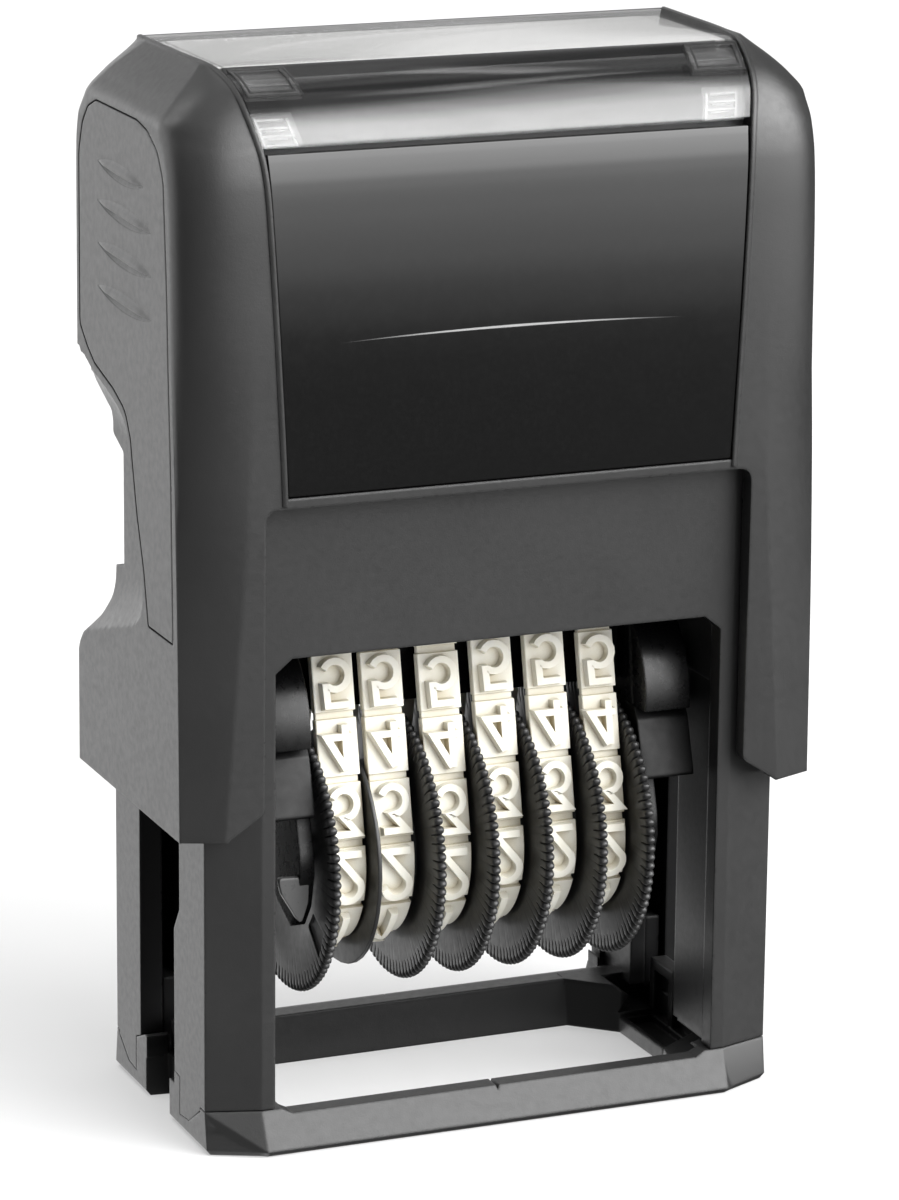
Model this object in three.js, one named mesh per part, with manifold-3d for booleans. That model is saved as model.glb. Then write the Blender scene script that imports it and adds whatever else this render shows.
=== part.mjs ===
// A self-inking numbering stamp with six rotary number bands, at rest.
// Millimetres, +Z up, X to the right, the window faces -Y (the front).
// Origin: centre of the foot ring, on the plane of its underside (the paper).
// Pressing the cap slides it down the frame and turns the print unit half a
// turn about its pivot pins, so that the print face leaves the ink pad above
// and lands on the paper below.
import * as THREE from "three";
import { mergeVertices } from "three/addons/utils/BufferGeometryUtils.js";
import Module from "manifold-3d";

const wasm = await Module();
wasm.setup();

// ---------------------------------------------------------------- dimensions
// R is a radius, X and Y are half sizes or distances from the centre planes.
// print unit
const PIVOT_Z = 31.5;
const PIVOT_R = 3.0;
const PRINT_R = 11.0; // pivot to print face
const PRINT_Z = PIVOT_Z + PRINT_R;
const SHOULDER_R = 7.62; // carrier drums round the pivot pins
const SHOULDER_X = 18.0; // their outer ends
const CHEEK_X = [13.95, 15.2]; // right cheek of the carrier
const WHEEL_Z = 20.3; // setting wheel axle
const WHEEL_R = 11.0; // setting discs
const SEPARATOR_R = 9.5;
const HUB_R = 6.5; // hubs that drive the bands
const HUB_GAP = 0.12; // hub to band
const AXLE_R = 1.2;
const BAND_T = 1.4; // band with its numerals
const BAND_CHAMFER = 0.9; // cut corners of the band over the bridge
// frame and foot
const HALF_W = 23.84; // over the side faces
const POST_Y = 10.33; // where the side face of a post ends
const FRONT_Y = 11.65; // outer front plane of the frame
const FRONT_X = 19.62; // half width of that plane
const FRAME_IN_Y = 9.95; // inner face of the front and rear walls
const POST_BASE = 3.5;
const DECK_Z = [52.4, 54]; // underside and top of the deck
const WALL_X = 18.7; // inner face of the side walls
const WINDOW_X = 18.55;
const WINDOW_TOP = 39.4;
const FOOT_Y = 12.94; // half depth of the foot near its base
const FOOT_TOP = 3.4;
// cap
const SKIRT_Z = 25.9; // lower edge
const CAP_X = 26.335;
const CAP_TOP = 83.87;
const CAP_IN_X = 24.05; // inside of the side walls
const CAP_IN_Y = 11.95; // inside of the front wall
const CAP_IN_FRONT_X = 19.9; // half width of the inner front plane
const WING_X = 20.0; // inner edge of the two front wings
const STRIP_Z = 51.5; // lower edge between the front wings
const GRIP_SEAT = 0.9; // depth of the seats for the grips
const GRIP_T = 0.8; // grip thickness below the side face of the cap
const RIDGE_RISE = 0.3; // finger ridges above that face
const LABEL_Z = [52.3, 77.9];
const LABEL_X = [18.3, 19.62]; // half width at its lower and upper edge
const FIT_GAP = 0.12; // round the grips, the label and the index window
const CARD_TABLE_TOP = 83.12;
const CARD_Z = [CARD_TABLE_TOP + 0.03, 83.39];
const WINDOW_REAR_Y = 8.8; // index window
const WINDOW_UNDERSIDE = 83.45;
// ink
const PAD_X = 14.6;
const PAD_Y = 5.6;
const PAD_Z = [PRINT_Z + 0.3, 45.2]; // lower face, roof of its pocket

// ---------------------------------------------------------------- finishes
const FINISHES = {
  anthracite: { color: 0x3b3c3d, roughness: 0.55 },
  darkPlastic: { color: 0x232324, roughness: 0.5 },
  wheelPlastic: { color: 0x2b2b2c, roughness: 0.55 },
  gripGrey: { color: 0x77787a, roughness: 0.6 },
  glossBlack: { color: 0x0c0c0d, roughness: 0.12 },
  card: { color: 0xf2f1ee, roughness: 0.8 },
  clear: { color: 0xdfe3e4, roughness: 0.08, transparent: true, opacity: 0.4 },
  inkedFelt: { color: 0x17171c, roughness: 0.95 },
  ivoryRubber: { color: 0xe9e6d8, roughness: 0.7 },
  steel: { color: 0xb8bbbe, roughness: 0.3, metalness: 1 },
};

// ---------------------------------------------------------------- solids
function toSolid(geometry) {
  // vertices can only merge when position is their sole attribute
  geometry.deleteAttribute("normal");
  geometry.deleteAttribute("uv");
  const merged = mergeVertices(geometry, 1e-4);
  return new wasm.Manifold(
    new wasm.Mesh({
      numProp: 3,
      vertProperties: new Float32Array(merged.attributes.position.array),
      triVerts: new Uint32Array(merged.index.array),
    }),
  );
}

function toGeometry(solid) {
  const mesh = solid.getMesh();
  const geometry = new THREE.BufferGeometry();
  const positions = new Float32Array(mesh.vertProperties);
  geometry.setAttribute("position", new THREE.BufferAttribute(positions, 3));
  geometry.setIndex(new THREE.BufferAttribute(new Uint32Array(mesh.triVerts), 1));
  geometry.computeVertexNormals();
  return geometry;
}

const vectors = (points) => points.map(([a, b]) => new THREE.Vector2(a, b));
function extrude(points, options, hole) {
  const shape = new THREE.Shape(vectors(points));
  if (hole) shape.holes.push(new THREE.Path(vectors(hole)));
  return new THREE.ExtrudeGeometry(shape, { bevelEnabled: false, ...options });
}

const axes = (...columns) =>
  new THREE.Matrix4().makeBasis(...columns.map((c) => new THREE.Vector3(...c)));
const ALONG_X = axes([0, 1, 0], [0, 0, 1], [1, 0, 0]);
const ALONG_Y = axes([1, 0, 0], [0, 0, 1], [0, -1, 0]);

// prisms along Z of an X, Y outline, along X of Y, Z and along Y of X, Z
const prismZ = (points, z0, z1) =>
  toSolid(extrude(points, { depth: z1 - z0 }).translate(0, 0, z0));
const prismX = (points, x0, x1, hole) =>
  toSolid(
    extrude(points, { depth: x1 - x0 }, hole).applyMatrix4(ALONG_X).translate(x0, 0, 0),
  );
const prismY = (points, y0, y1) =>
  toSolid(extrude(points, { depth: y1 - y0 }).applyMatrix4(ALONG_Y).translate(0, y1, 0));

const box = (x0, x1, y0, y1, z0, z1) =>
  toSolid(
    new THREE.BoxGeometry(x1 - x0, y1 - y0, z1 - z0).translate(
      (x0 + x1) / 2,
      (y0 + y1) / 2,
      (z0 + z1) / 2,
    ),
  );
// cylinders in the plane y = 0: along X at height z, and on the Z axis
const cylX = (radius, x0, x1, z, segments) =>
  toSolid(
    new THREE.CylinderGeometry(radius, radius, x1 - x0, segments)
      .rotateZ(-Math.PI / 2)
      .translate((x0 + x1) / 2, 0, z),
  );
const cylZ = (radius, z0, z1, segments) =>
  toSolid(
    new THREE.CylinderGeometry(radius, radius, z1 - z0, segments)
      .rotateX(Math.PI / 2)
      .translate(0, 0, (z0 + z1) / 2),
  );

// A body whose X, Y outline changes with height: rings { z, points } of equal
// point count. A stepped regular prism is built and its points are then moved.
function loft(rings) {
  const count = rings[0].points.length;
  const regular = [];
  for (let i = 0; i < count; i++) {
    const angle = (2 * Math.PI * i) / count;
    regular.push([Math.cos(angle), Math.sin(angle)]);
  }
  const levels = rings.length - 1;
  const geometry = extrude(regular, { depth: levels, steps: levels });
  const position = geometry.attributes.position;
  for (let k = 0; k < position.count; k++) {
    const ring = rings[Math.round(position.getZ(k))];
    const angle = Math.atan2(position.getY(k), position.getX(k));
    const i = Math.round((angle * count) / (2 * Math.PI));
    const [x, y] = ring.points[(i + count) % count];
    position.setXYZ(k, x, y, ring.z);
  }
  return toSolid(geometry);
}

const mirrored = (solid) => solid.mirror([1, 0, 0]);
const both = (solid) => solid.add(mirrored(solid));
const add = (first, ...others) => others.reduce((sum, solid) => sum.add(solid), first);
const cut = (first, ...others) => others.reduce((rest, solid) => rest.subtract(solid), first);

// closes a half outline with its mirror image in the first coordinate
const symmetric = (half) => [...half, ...half.map(([a, b]) => [-a, b]).reverse()];

// rectangle with cut corners: sides end at (x1, y1), front and rear at (x2, y2)
const octagon = (x1, y1, x2, y2) => [
  [x1, -y1], [x1, y1], [x2, y2], [-x2, y2],
  [-x1, y1], [-x1, -y1], [-x2, -y2], [x2, -y2],
];

// an anticlockwise outline drawn in by a distance
function inset(points, distance) {
  const count = points.length;
  const normal = ([ax, ay], [bx, by]) => new THREE.Vector2(ay - by, bx - ax).normalize();
  return points.map((point, i) => {
    const before = normal(points[(i + count - 1) % count], point);
    const after = normal(point, points[(i + 1) % count]);
    const shift = before.clone().add(after);
    shift.multiplyScalar(distance / Math.max(0.25, shift.dot(before)));
    return [point[0] + shift.x, point[1] + shift.y];
  });
}

// ------------------------------------------------------------- frame
// Hollow right-hand post; innerY is its face at the slot for the pivot pins.
function post(side, innerY, top) {
  const outline = [
    [WINDOW_X, FRONT_Y], [FRONT_X, FRONT_Y], [HALF_W, POST_Y],
    [HALF_W, innerY], [22.0, innerY], [22.0, 8.5],
    [20.2, 9.6], [20.2, innerY], [18.9, innerY],
    [18.9, FRAME_IN_Y], [WINDOW_X, FRAME_IN_Y],
  ];
  return prismZ(outline.map(([x, y]) => [x, side * y]), POST_BASE, top);
}

function makeFrame() {
  const [deckUnder, deckTop] = DECK_Z;
  // the front post is broader low down
  const postWidening = prismX(
    [[-4.7, POST_BASE], [-3.4, POST_BASE], [-3.4, 16.2], [-4.65, 18.1], [-4.7, 18.1]],
    22.0,
    HALF_W,
  );
  const windowOutline = symmetric([[WINDOW_X, 34], [WINDOW_X, 38.3], [17.2, WINDOW_TOP]]);
  const frontPanel = cut(
    box(-FRONT_X, FRONT_X, -FRONT_Y, -FRAME_IN_Y, 35, deckTop),
    prismY(windowOutline, -12.5, -9),
  );
  const panelEdge = prismZ(
    [
      [18.3, -FRONT_Y], [FRONT_X, -FRONT_Y], [21.5, -11.08],
      [21.5, -FRAME_IN_Y], [18.3, -FRAME_IN_Y],
    ],
    44.5,
    deckTop,
  );
  // side walls that carry the ink cartridge
  const sideWall = prismX(
    [
      [-10.2, 35.2], [9.95, 34.0], [9.95, 41.5], [5.0, 42.0],
      [5.0, 52.2], [8.0, 52.4], [8.0, deckTop], [-10.2, deckTop],
    ],
    WALL_X,
    19.9,
  );
  const cartridgeRail = box(17.2, 18.8, -10.0, 5.0, 42.2, 43.3);
  const frame = add(
    both(post(-1, 4.65, 45)),
    both(post(1, 4.6, 35)),
    both(postWidening),
    frontPanel,
    both(panelEdge),
    both(sideWall),
    both(cartridgeRail),
    box(-19.9, 19.9, 8.4, FRAME_IN_Y, 36.5, 41.3), // rear bridge
    both(box(WALL_X, 20.2, 4.6, FRAME_IN_Y, 33.5, 36.6)), // walls to rear posts
    both(box(WALL_X, 20.2, -10.2, -4.65, 33.5, 36.6)), // walls to front posts
    box(-19.3, 19.3, -10.2, 8.0, deckUnder, deckTop),
    cylZ(6.4, 50.2, 58.6, 24), // spring tower
  );
  return frame.subtract(cylZ(5.0, 51.4, 59, 24));
}

// ------------------------------------------------------------- foot ring
function makeFoot() {
  const ring = loft([
    { z: 0, points: octagon(23.5, 10.15, 19.45, 12.55) },
    { z: 0.45, points: octagon(HALF_W, POST_Y, 19.57, FOOT_Y) },
    { z: FOOT_TOP, points: octagon(HALF_W, POST_Y, FRONT_X, FRONT_Y) },
  ]);
  const rearBar = box(-18.3, 18.3, 9.6, 11.55, 3.0, 4.4);
  const opening = prismZ(octagon(20.9, 7.4, 18.2, 9.4), -1, 6);
  // the front bar dips between the posts
  const frontDip = prismY(symmetric([[18.4, 3.6], [17.2, 3.0], [16.9, 3.0]]), -14, -9);
  // sighting notches in the middle of both bars, higher in the rear bar
  const notch = [[-0.35, 3.6], [0, 2.6], [0.35, 3.6]];
  const rearNotch = notch.map(([x, z]) => [x, z + 1.2]);
  const sideNotch = prismZ([[22.0, -1.9], [24.5, -2.3], [24.5, 3.4], [22.0, 3.1]], -1, 6);
  const body = cut(
    ring.add(rearBar),
    opening,
    frontDip,
    prismY(notch, -14, -9),
    prismY(rearNotch, 9, 14),
    both(sideNotch),
  );
  // snap tabs that stand up inside the posts
  return add(
    body,
    both(box(20.5, 21.7, -8.0, -5.2, 3.0, 9.0)),
    both(box(20.5, 21.7, 5.2, 8.0, 3.0, 9.0)),
  );
}

// ------------------------------------------------------------- cap
// Columns: z, side plane x, its front end y, half width of the front and rear
// planes, front plane y, corner roundness, rear end y of the side plane,
// rear plane y. Depths are distances from y = 0.
const CAP_STATIONS = [
  [SKIRT_Z, CAP_X, 11.84, 22.98, 13.18, 0.0, 11.84, 13.18],
  [40, CAP_X, 11.6, 21.9, 13.35, 0.15, 11.7, 13.35],
  [52, CAP_X, 11.1, 21.0, 13.45, 0.4, 11.5, 13.45],
  [62, CAP_X, 10.4, 20.7, 13.4, 0.7, 11.4, 13.4],
  [72, CAP_X, 9.9, 20.4, 13.1, 0.8, 11.3, 13.15],
  [75.5, CAP_X, 9.5, 20.3, 12.85, 0.8, 11.2, 12.9],
  [77.8, CAP_X, 8.7, 20.3, 12.38, 0.8, 10.6, 12.9],
  [79.6, CAP_X, 6.5, 20.4, 11.65, 0.75, 9.2, 12.5],
  [81.2, 24.7, 5.6, 21.0, 10.6, 0.7, 8.6, 11.9],
  [82.4, 23.5, 5.5, 21.5, 9.3, 0.6, 8.4, 11.1],
  [83.3, 22.65, 5.4, 21.9, 7.4, 0.5, 8.3, 10.2],
  [CAP_TOP, 22.1, 5.3, 21.95, 5.6, 0.3, 8.2, 9.3],
];

// quadratic curve from the side plane (x1, y1) to the end plane (x2, y2)
function capCorner(x1, y1, x2, y2, roundness) {
  const controlX = (x1 + x2 + roundness * (x1 - x2)) / 2;
  const controlY = (y1 + y2 + roundness * (y2 - y1)) / 2;
  const points = [];
  for (let i = 0; i <= 4; i++) {
    const t = i / 4;
    const u = 1 - t;
    points.push([
      u * u * x1 + 2 * u * t * controlX + t * t * x2,
      u * u * y1 + 2 * u * t * controlY + t * t * y2,
    ]);
  }
  return points;
}

function capRing([z, sideX, sideFrontY, endX, frontY, roundness, sideRearY, rearY]) {
  const front = capCorner(sideX, sideFrontY, endX, frontY, roundness);
  const rear = capCorner(sideX, sideRearY, endX, rearY, roundness);
  const frontToSide = front.map(([x, y]) => [x, -y]).reverse();
  return { z, points: symmetric([...frontToSide, ...rear]) };
}

// Y, Z: curved rear edge of the side walls, open where the cartridge is drawn out
const REAR_EDGE = [
  [11.85, 34.8], [15, 34.8], [15, 57.2], [11.4, 57.2], [7.5, 55.2],
  [7.5, 53.3], [5.1, 52.3], [5.1, 43.2], [7.0, 42.9], [7.2, 40.3],
  [8.2, 38.6], [10.7, 36.5], [11.4, 35.7],
];

// Y, Z: finger relief behind each grip
const RELIEF_OUTLINE = [
  [-0.4, 54.6], [-0.8, 53.1], [-1.8, 49.3], [-3.3, 45.2], [-3.5, 43.4],
  [-3.3, 41.7], [-1.2, 39.8], [13, 36.0], [13, 61], [9.2, 58.8],
  [7.5, 58.2], [3.1, 57.1], [0.6, 56.1],
];

// Y, Z: seat for a grip
const GRIP_OUTLINE = [
  [6.6, 79.6], [-2.9, 79.6], [-5.2, 79.2], [-7.6, 78.0], [-8.9, 76.0],
  [-9.6, 67.3], [-9.8, 62.0], [-10.3, 53.7], [-10.6, 42.5], [-10.6, 41.0],
  [-4.9, 41.0], [-3.9, 45.2], [-2.4, 49.3], [-1.4, 53.1], [-1.0, 54.8],
  [0.2, 56.7], [2.9, 57.8], [7.3, 58.9], [9.0, 59.9], [10.8, 61.4],
  [10.7, 75.0], [9.8, 77.4], [8.4, 78.9],
];

// Y, Z: region in front of the floor of the label seat
const LABEL_SEAT_PROFILE = [
  [-12.9, 50], [-12.9, 60], [-12.75, 68], [-12.5, 74],
  [-12.2, 77], [-11.9, 79], [-17, 79], [-17, 50],
];

// Y, Z: section of the label, up its rear face and down its front
const LABEL_PROFILE = [
  [-13.4, 50], [-12.98, 50], [-12.98, 60], [-12.83, 68], [-12.58, 74],
  [-12.28, 77], [-12.1, 78.2], [-12.3, 78.2], [-12.4, 77.8], [-12.83, 75.5],
  [-13.08, 72], [-13.38, 62],
];

const labelOutline = (gap) => [
  [-(LABEL_X[0] - gap), LABEL_Z[0] + gap],
  [LABEL_X[0] - gap, LABEL_Z[0] + gap],
  [LABEL_X[1] - gap, LABEL_Z[1] - gap],
  [-(LABEL_X[1] - gap), LABEL_Z[1] - gap],
];

// Front rounding of the cap from the label up to the top. Columns: y, z, then
// the shift to the rear and the shift down for each unit of depth.
const FRONT_ROUNDING = [
  [-12.38, 77.95, 1.05, 0],
  [-11.93, 78.93, 0.95, 0.2],
  [-11.41, 80.04, 0.85, 0.4],
  [-10.66, 81.12, 0.75, 0.6],
  [-9.75, 82.04, 0.6, 0.8],
  [-8.13, 83.0, 0.4, 0.92],
  [-6.26, 83.64, 0.2, 0.98],
  [-4.0, 83.85, 0, 1],
];
const roundingAt = (depth) =>
  FRONT_ROUNDING.map(([y, z, rearward, down]) => [y + rearward * depth, z - down * depth]);

// the index window widens from the front rounding towards the rear
const windowPlan = (margin) => {
  const rightEdge = [
    [19.7, -16], [19.7, -12.4], [20.2, -11.4], [20.6, -9.75], [20.95, -8.13],
    [21.3, -6.26], [21.6, -4.0], [21.75, 0], [21.8, 12],
  ];
  return prismZ(symmetric(rightEdge.map(([x, y]) => [x + margin, y])), 70, 90);
};

function makeCap() {
  // openings between the wings, their lower ends splayed
  const wingEdge = [[23.1, 25], [23.0, SKIRT_Z], [WING_X, 28.0]];
  const frontOpening = prismY(
    symmetric([...wingEdge, [WING_X, 50.6], [19.5, 51.3], [18.8, STRIP_Z]]),
    -16,
    -9,
  );
  const rearOpening = prismY(symmetric([...wingEdge, [WING_X, 56.4], [18.8, 57.2]]), 9, 16);
  const labelSeat = prismY(labelOutline(0), -16, -11).intersect(
    prismX(LABEL_SEAT_PROFILE, -25, 25),
  );
  // over the top and down the front rounding
  const indexSeat = prismX(
    [...roundingAt(1.5), [9.0, 82.35], [9.0, 86], [-16, 86], [-16, 77.95]],
    -24,
    24,
  ).intersect(windowPlan(0.05));
  const shell = cut(
    loft(CAP_STATIONS.map(capRing)),
    // inside, narrowing in three steps towards the top
    prismZ(octagon(CAP_IN_X, 10.6, CAP_IN_FRONT_X, CAP_IN_Y), 20, 66.2),
    prismZ(octagon(21.8, 11.15, CAP_IN_FRONT_X, 11.9), 66, 75.3),
    box(-20.6, 20.6, -7.6, 7.6, 75, 80.4),
    frontOpening,
    rearOpening,
    prismX(REAR_EDGE, -30, 30),
    both(prismX(RELIEF_OUTLINE, 24.85, 28)),
    both(prismX(GRIP_OUTLINE, CAP_X - GRIP_SEAT, CAP_X + 1)),
    labelSeat,
    indexSeat,
  );
  const cardTable = box(-20.2, 20.2, -4.6, 8.6, 82.0, CARD_TABLE_TOP);
  const pinPocket = cylX(PIVOT_R + 0.08, 24.0, 25.5, PIVOT_Z, 24);
  return shell.add(cardTable).subtract(both(pinPocket));
}

// Finger ridges, long and low. Columns: centre y, centre z, half length.
const RIDGES = [
  [0.8, 74.85, 5.2],
  [0.0, 71.75, 6.1],
  [0.0, 68.45, 6.1],
  [0.1, 65.1, 6.1],
];
const RIDGE_HALF_HEIGHT = 0.56;

// a slightly tilted six-sided bar, pointed at its front and rear ends
function ridge([y, z, halfLength]) {
  const shoulder = 0.45 * halfLength;
  const frontZ = z - 0.1;
  const rearZ = z + 0.1;
  const outline = [
    [y - halfLength, z - 0.15],
    [y - shoulder, frontZ - RIDGE_HALF_HEIGHT],
    [y + shoulder, rearZ - RIDGE_HALF_HEIGHT],
    [y + halfLength, z + 0.15],
    [y + shoulder, rearZ + RIDGE_HALF_HEIGHT],
    [y - shoulder, frontZ + RIDGE_HALF_HEIGHT],
  ];
  return prismX(outline, CAP_X - 0.3, CAP_X + RIDGE_RISE);
}

const makeGrip = () =>
  add(
    prismX(inset(GRIP_OUTLINE, FIT_GAP), CAP_X - GRIP_T, CAP_X + 0.02),
    ...RIDGES.map(ridge),
  );

const makeLabel = () =>
  prismY(labelOutline(FIT_GAP), -16, -12).intersect(prismX(LABEL_PROFILE, -25, 25));

// clear plate whose flat part covers the index card
function makeIndexWindow() {
  const profile = [
    ...roundingAt(0.95).slice(0, 7),
    [-4.75, 82.88],
    [-4.75, WINDOW_UNDERSIDE],
    [WINDOW_REAR_Y, WINDOW_UNDERSIDE],
    [WINDOW_REAR_Y, 83.85],
    ...roundingAt(0).reverse(),
  ];
  return prismX(profile, -24, 24).intersect(windowPlan(-FIT_GAP));
}

// ------------------------------------------------------------- ink cartridge
function makeCartridge() {
  const pocketX = PAD_X + 0.1;
  const pocketY = PAD_Y + 0.1;
  const pocket = box(-pocketX, pocketX, -pocketY, pocketY, 43.0, PAD_Z[1]);
  const rearBlock = box(-8, 8, 9.2, 10.2, 44.2, 49.2);
  return box(-18.35, 18.35, -9.4, 9.3, 43.45, 49.9).subtract(pocket).add(rearBlock);
}

// ------------------------------------------------------------- return spring
const SPRING = { turns: 7.5, radius: 4.1, z: 52.1, rise: 27.6, wireR: 0.5, wireSides: 5 };

class Coil extends THREE.Curve {
  getPoint(t, target = new THREE.Vector3()) {
    const angle = 2 * Math.PI * SPRING.turns * t;
    return target.set(
      SPRING.radius * Math.cos(angle),
      SPRING.radius * Math.sin(angle),
      SPRING.z + SPRING.rise * t,
    );
  }
}

function makeSpring() {
  const wire = [];
  for (let i = 0; i < SPRING.wireSides; i++) {
    const angle = (2 * Math.PI * i) / SPRING.wireSides;
    wire.push([SPRING.wireR * Math.cos(angle), SPRING.wireR * Math.sin(angle)]);
  }
  return toSolid(extrude(wire, { steps: 88, extrudePath: new Coil() }));
}

// ------------------------------------------------------------- print unit
// Everything below turns together about the pivot pins.
// Y, Z: +Y half of a carrier cheek, from the bottom up
const CHEEK_HALF = [
  [1.4, 18.4], [3.3, 17.2], [6.0, 16.1], [7.4, 18.0], [8.1, 20.8],
  [7.9, 22.6], [5.2, PIVOT_Z], [4.4, 38.0], [2.6, 41.2],
];

// two cheeks with shoulder drums, joined by a beam inside the bands
function makeCarrier() {
  // the drums are cut flat below
  const drum = cylX(SHOULDER_R, 14.1, SHOULDER_X, PIVOT_Z, 48).subtract(
    box(10, 20, -12, 12, 20, 30.8),
  );
  const body = add(
    both(prismX(symmetric(CHEEK_HALF), ...CHEEK_X)),
    both(drum),
    box(-14.2, 14.2, -2.3, 2.3, 32.3, 38.6), // beam
    both(box(14.1, 17.2, -4.2, 4.2, 26.5, 31.0)), // block under each drum
  );
  return cut(
    body,
    both(cylX(PIVOT_R + 0.03, 15.6, 19, PIVOT_Z, 24)),
    both(cylX(AXLE_R + 0.03, 13, 17, WHEEL_Z, 16)),
  );
}

// the anvil that the bands run over
function makePrintBridge() {
  const half = [[2.3, 38.7], [2.75, 40.2], [1.9, PRINT_Z - BAND_T - 0.1]];
  return prismX(symmetric(half), -13.85, 13.85);
}

// Setting wheels and bands from left to right, spans along X.
const WHEELS = [
  { disc: [-13.55, -12.85], hub: [-12.9, -9.3], band: [-12.75, -9.35] },
  { disc: [-4.8, -4.1], hub: [-8.75, -4.75], band: [-8.7, -5.3] },
  { disc: [-0.25, 0.45], hub: [-4.0, -0.2], band: [-3.95, -0.5] },
  { disc: [4.3, 5.0], hub: [0.55, 4.35], band: [0.6, 4.0] },
  { disc: [8.9, 9.6], hub: [5.1, 8.95], band: [5.15, 8.5] },
  { disc: [12.95, 13.65], hub: [9.7, 13.0], band: [9.75, 12.75] },
];

// wheel body bored for the axle
const bored = (solid, clearance) =>
  solid.subtract(cylX(AXLE_R + clearance, -20, 20, WHEEL_Z, 16));

const makeWheel = ({ disc, hub }) =>
  bored(
    cylX(WHEEL_R, ...disc, WHEEL_Z, 40).add(cylX(HUB_R, ...hub, WHEEL_Z, 28)),
    0.06,
  );

// Y, Z: round the hub below, straight sides, over the print bridge above
function bandOutline(radius, topHalf, topZ) {
  const tipZ = topZ - BAND_CHAMFER;
  const rise = tipZ - WHEEL_Z;
  // angle of the point where the +Y side touches the hub circle
  const tangent = Math.atan2(rise, topHalf) - Math.acos(radius / Math.hypot(topHalf, rise));
  const start = -Math.PI - tangent; // its mirror on the -Y side
  const segments = 14;
  const points = [];
  for (let i = 0; i <= segments; i++) {
    const angle = start + ((tangent - start) * i) / segments;
    points.push([radius * Math.cos(angle), WHEEL_Z + radius * Math.sin(angle)]);
  }
  return [...points, ...symmetric([[topHalf, tipZ], [topHalf - BAND_CHAMFER, topZ]])];
}
const BAND_IN_R = HUB_R + HUB_GAP;
const BAND_OUTER = bandOutline(BAND_IN_R + BAND_T, 3.6, PRINT_Z);
const BAND_INNER = bandOutline(BAND_IN_R, 3.0, PRINT_Z - BAND_T);

// ------------------------------------------------------------- assembly
const group = new THREE.Group();
function put(name, solid, finish) {
  const material = new THREE.MeshStandardMaterial(FINISHES[finish]);
  const mesh = new THREE.Mesh(toGeometry(solid), material);
  mesh.name = name;
  group.add(mesh);
}

put("frame", makeFrame(), "anthracite");
put("foot_frame", makeFoot(), "anthracite");
put("cap_housing", makeCap(), "anthracite");
const grip = makeGrip();
put("grip_right", grip, "gripGrey");
put("grip_left", mirrored(grip), "gripGrey");
put("front_label", makeLabel(), "glossBlack");
put("index_card", box(-20.0, 20.0, -4.5, 8.5, ...CARD_Z), "card");
put("index_window", makeIndexWindow(), "clear");
put("ink_cartridge", makeCartridge(), "darkPlastic");
const inkPad = box(-PAD_X, PAD_X, -PAD_Y, PAD_Y, PAD_Z[0], PAD_Z[1] - 0.05);
put("ink_pad", inkPad, "inkedFelt");
put("return_spring", makeSpring(), "steel");
put("carrier", makeCarrier(), "darkPlastic");
const pivotPin = cylX(PIVOT_R, 15.7, 25.35, PIVOT_Z, 24);
put("pivot_pin_left", mirrored(pivotPin), "steel");
put("pivot_pin_right", pivotPin, "steel");
put("wheel_axle", cylX(AXLE_R, -15.1, 15.1, WHEEL_Z, 16), "steel");
put("print_bridge", makePrintBridge(), "darkPlastic");
WHEELS.forEach((wheel, i) => {
  put(`setting_wheel_${i + 1}`, makeWheel(wheel), "wheelPlastic");
  put(`number_band_${i + 1}`, prismX(BAND_OUTER, ...wheel.band, BAND_INNER), "ivoryRubber");
});
const separator = bored(cylX(SEPARATOR_R, -9.22, -8.87, WHEEL_Z, 40), 0.05);
put("separator_disc", separator, "wheelPlastic");

export default group;
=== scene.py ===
import bpy
import bmesh
import math
import numpy as np
from mathutils import Matrix, Vector

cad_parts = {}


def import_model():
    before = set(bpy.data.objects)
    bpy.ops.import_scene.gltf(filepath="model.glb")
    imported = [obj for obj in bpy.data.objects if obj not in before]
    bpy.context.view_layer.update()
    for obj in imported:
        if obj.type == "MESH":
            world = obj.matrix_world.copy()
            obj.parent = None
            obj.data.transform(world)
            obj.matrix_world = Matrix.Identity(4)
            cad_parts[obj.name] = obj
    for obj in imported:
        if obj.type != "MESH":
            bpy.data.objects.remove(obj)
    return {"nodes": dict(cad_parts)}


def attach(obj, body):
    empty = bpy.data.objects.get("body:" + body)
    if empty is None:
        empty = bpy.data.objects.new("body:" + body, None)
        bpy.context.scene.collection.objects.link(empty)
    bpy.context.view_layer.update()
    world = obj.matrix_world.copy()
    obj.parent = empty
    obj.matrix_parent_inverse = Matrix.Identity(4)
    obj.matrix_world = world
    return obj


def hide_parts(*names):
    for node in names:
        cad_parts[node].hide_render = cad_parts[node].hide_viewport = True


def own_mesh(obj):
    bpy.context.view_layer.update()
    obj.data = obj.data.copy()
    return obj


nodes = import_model()["nodes"]
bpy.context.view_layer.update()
scene = bpy.context.scene
MM = 0.001
SIDES = ((1, "right"), (-1, "left"))


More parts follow.
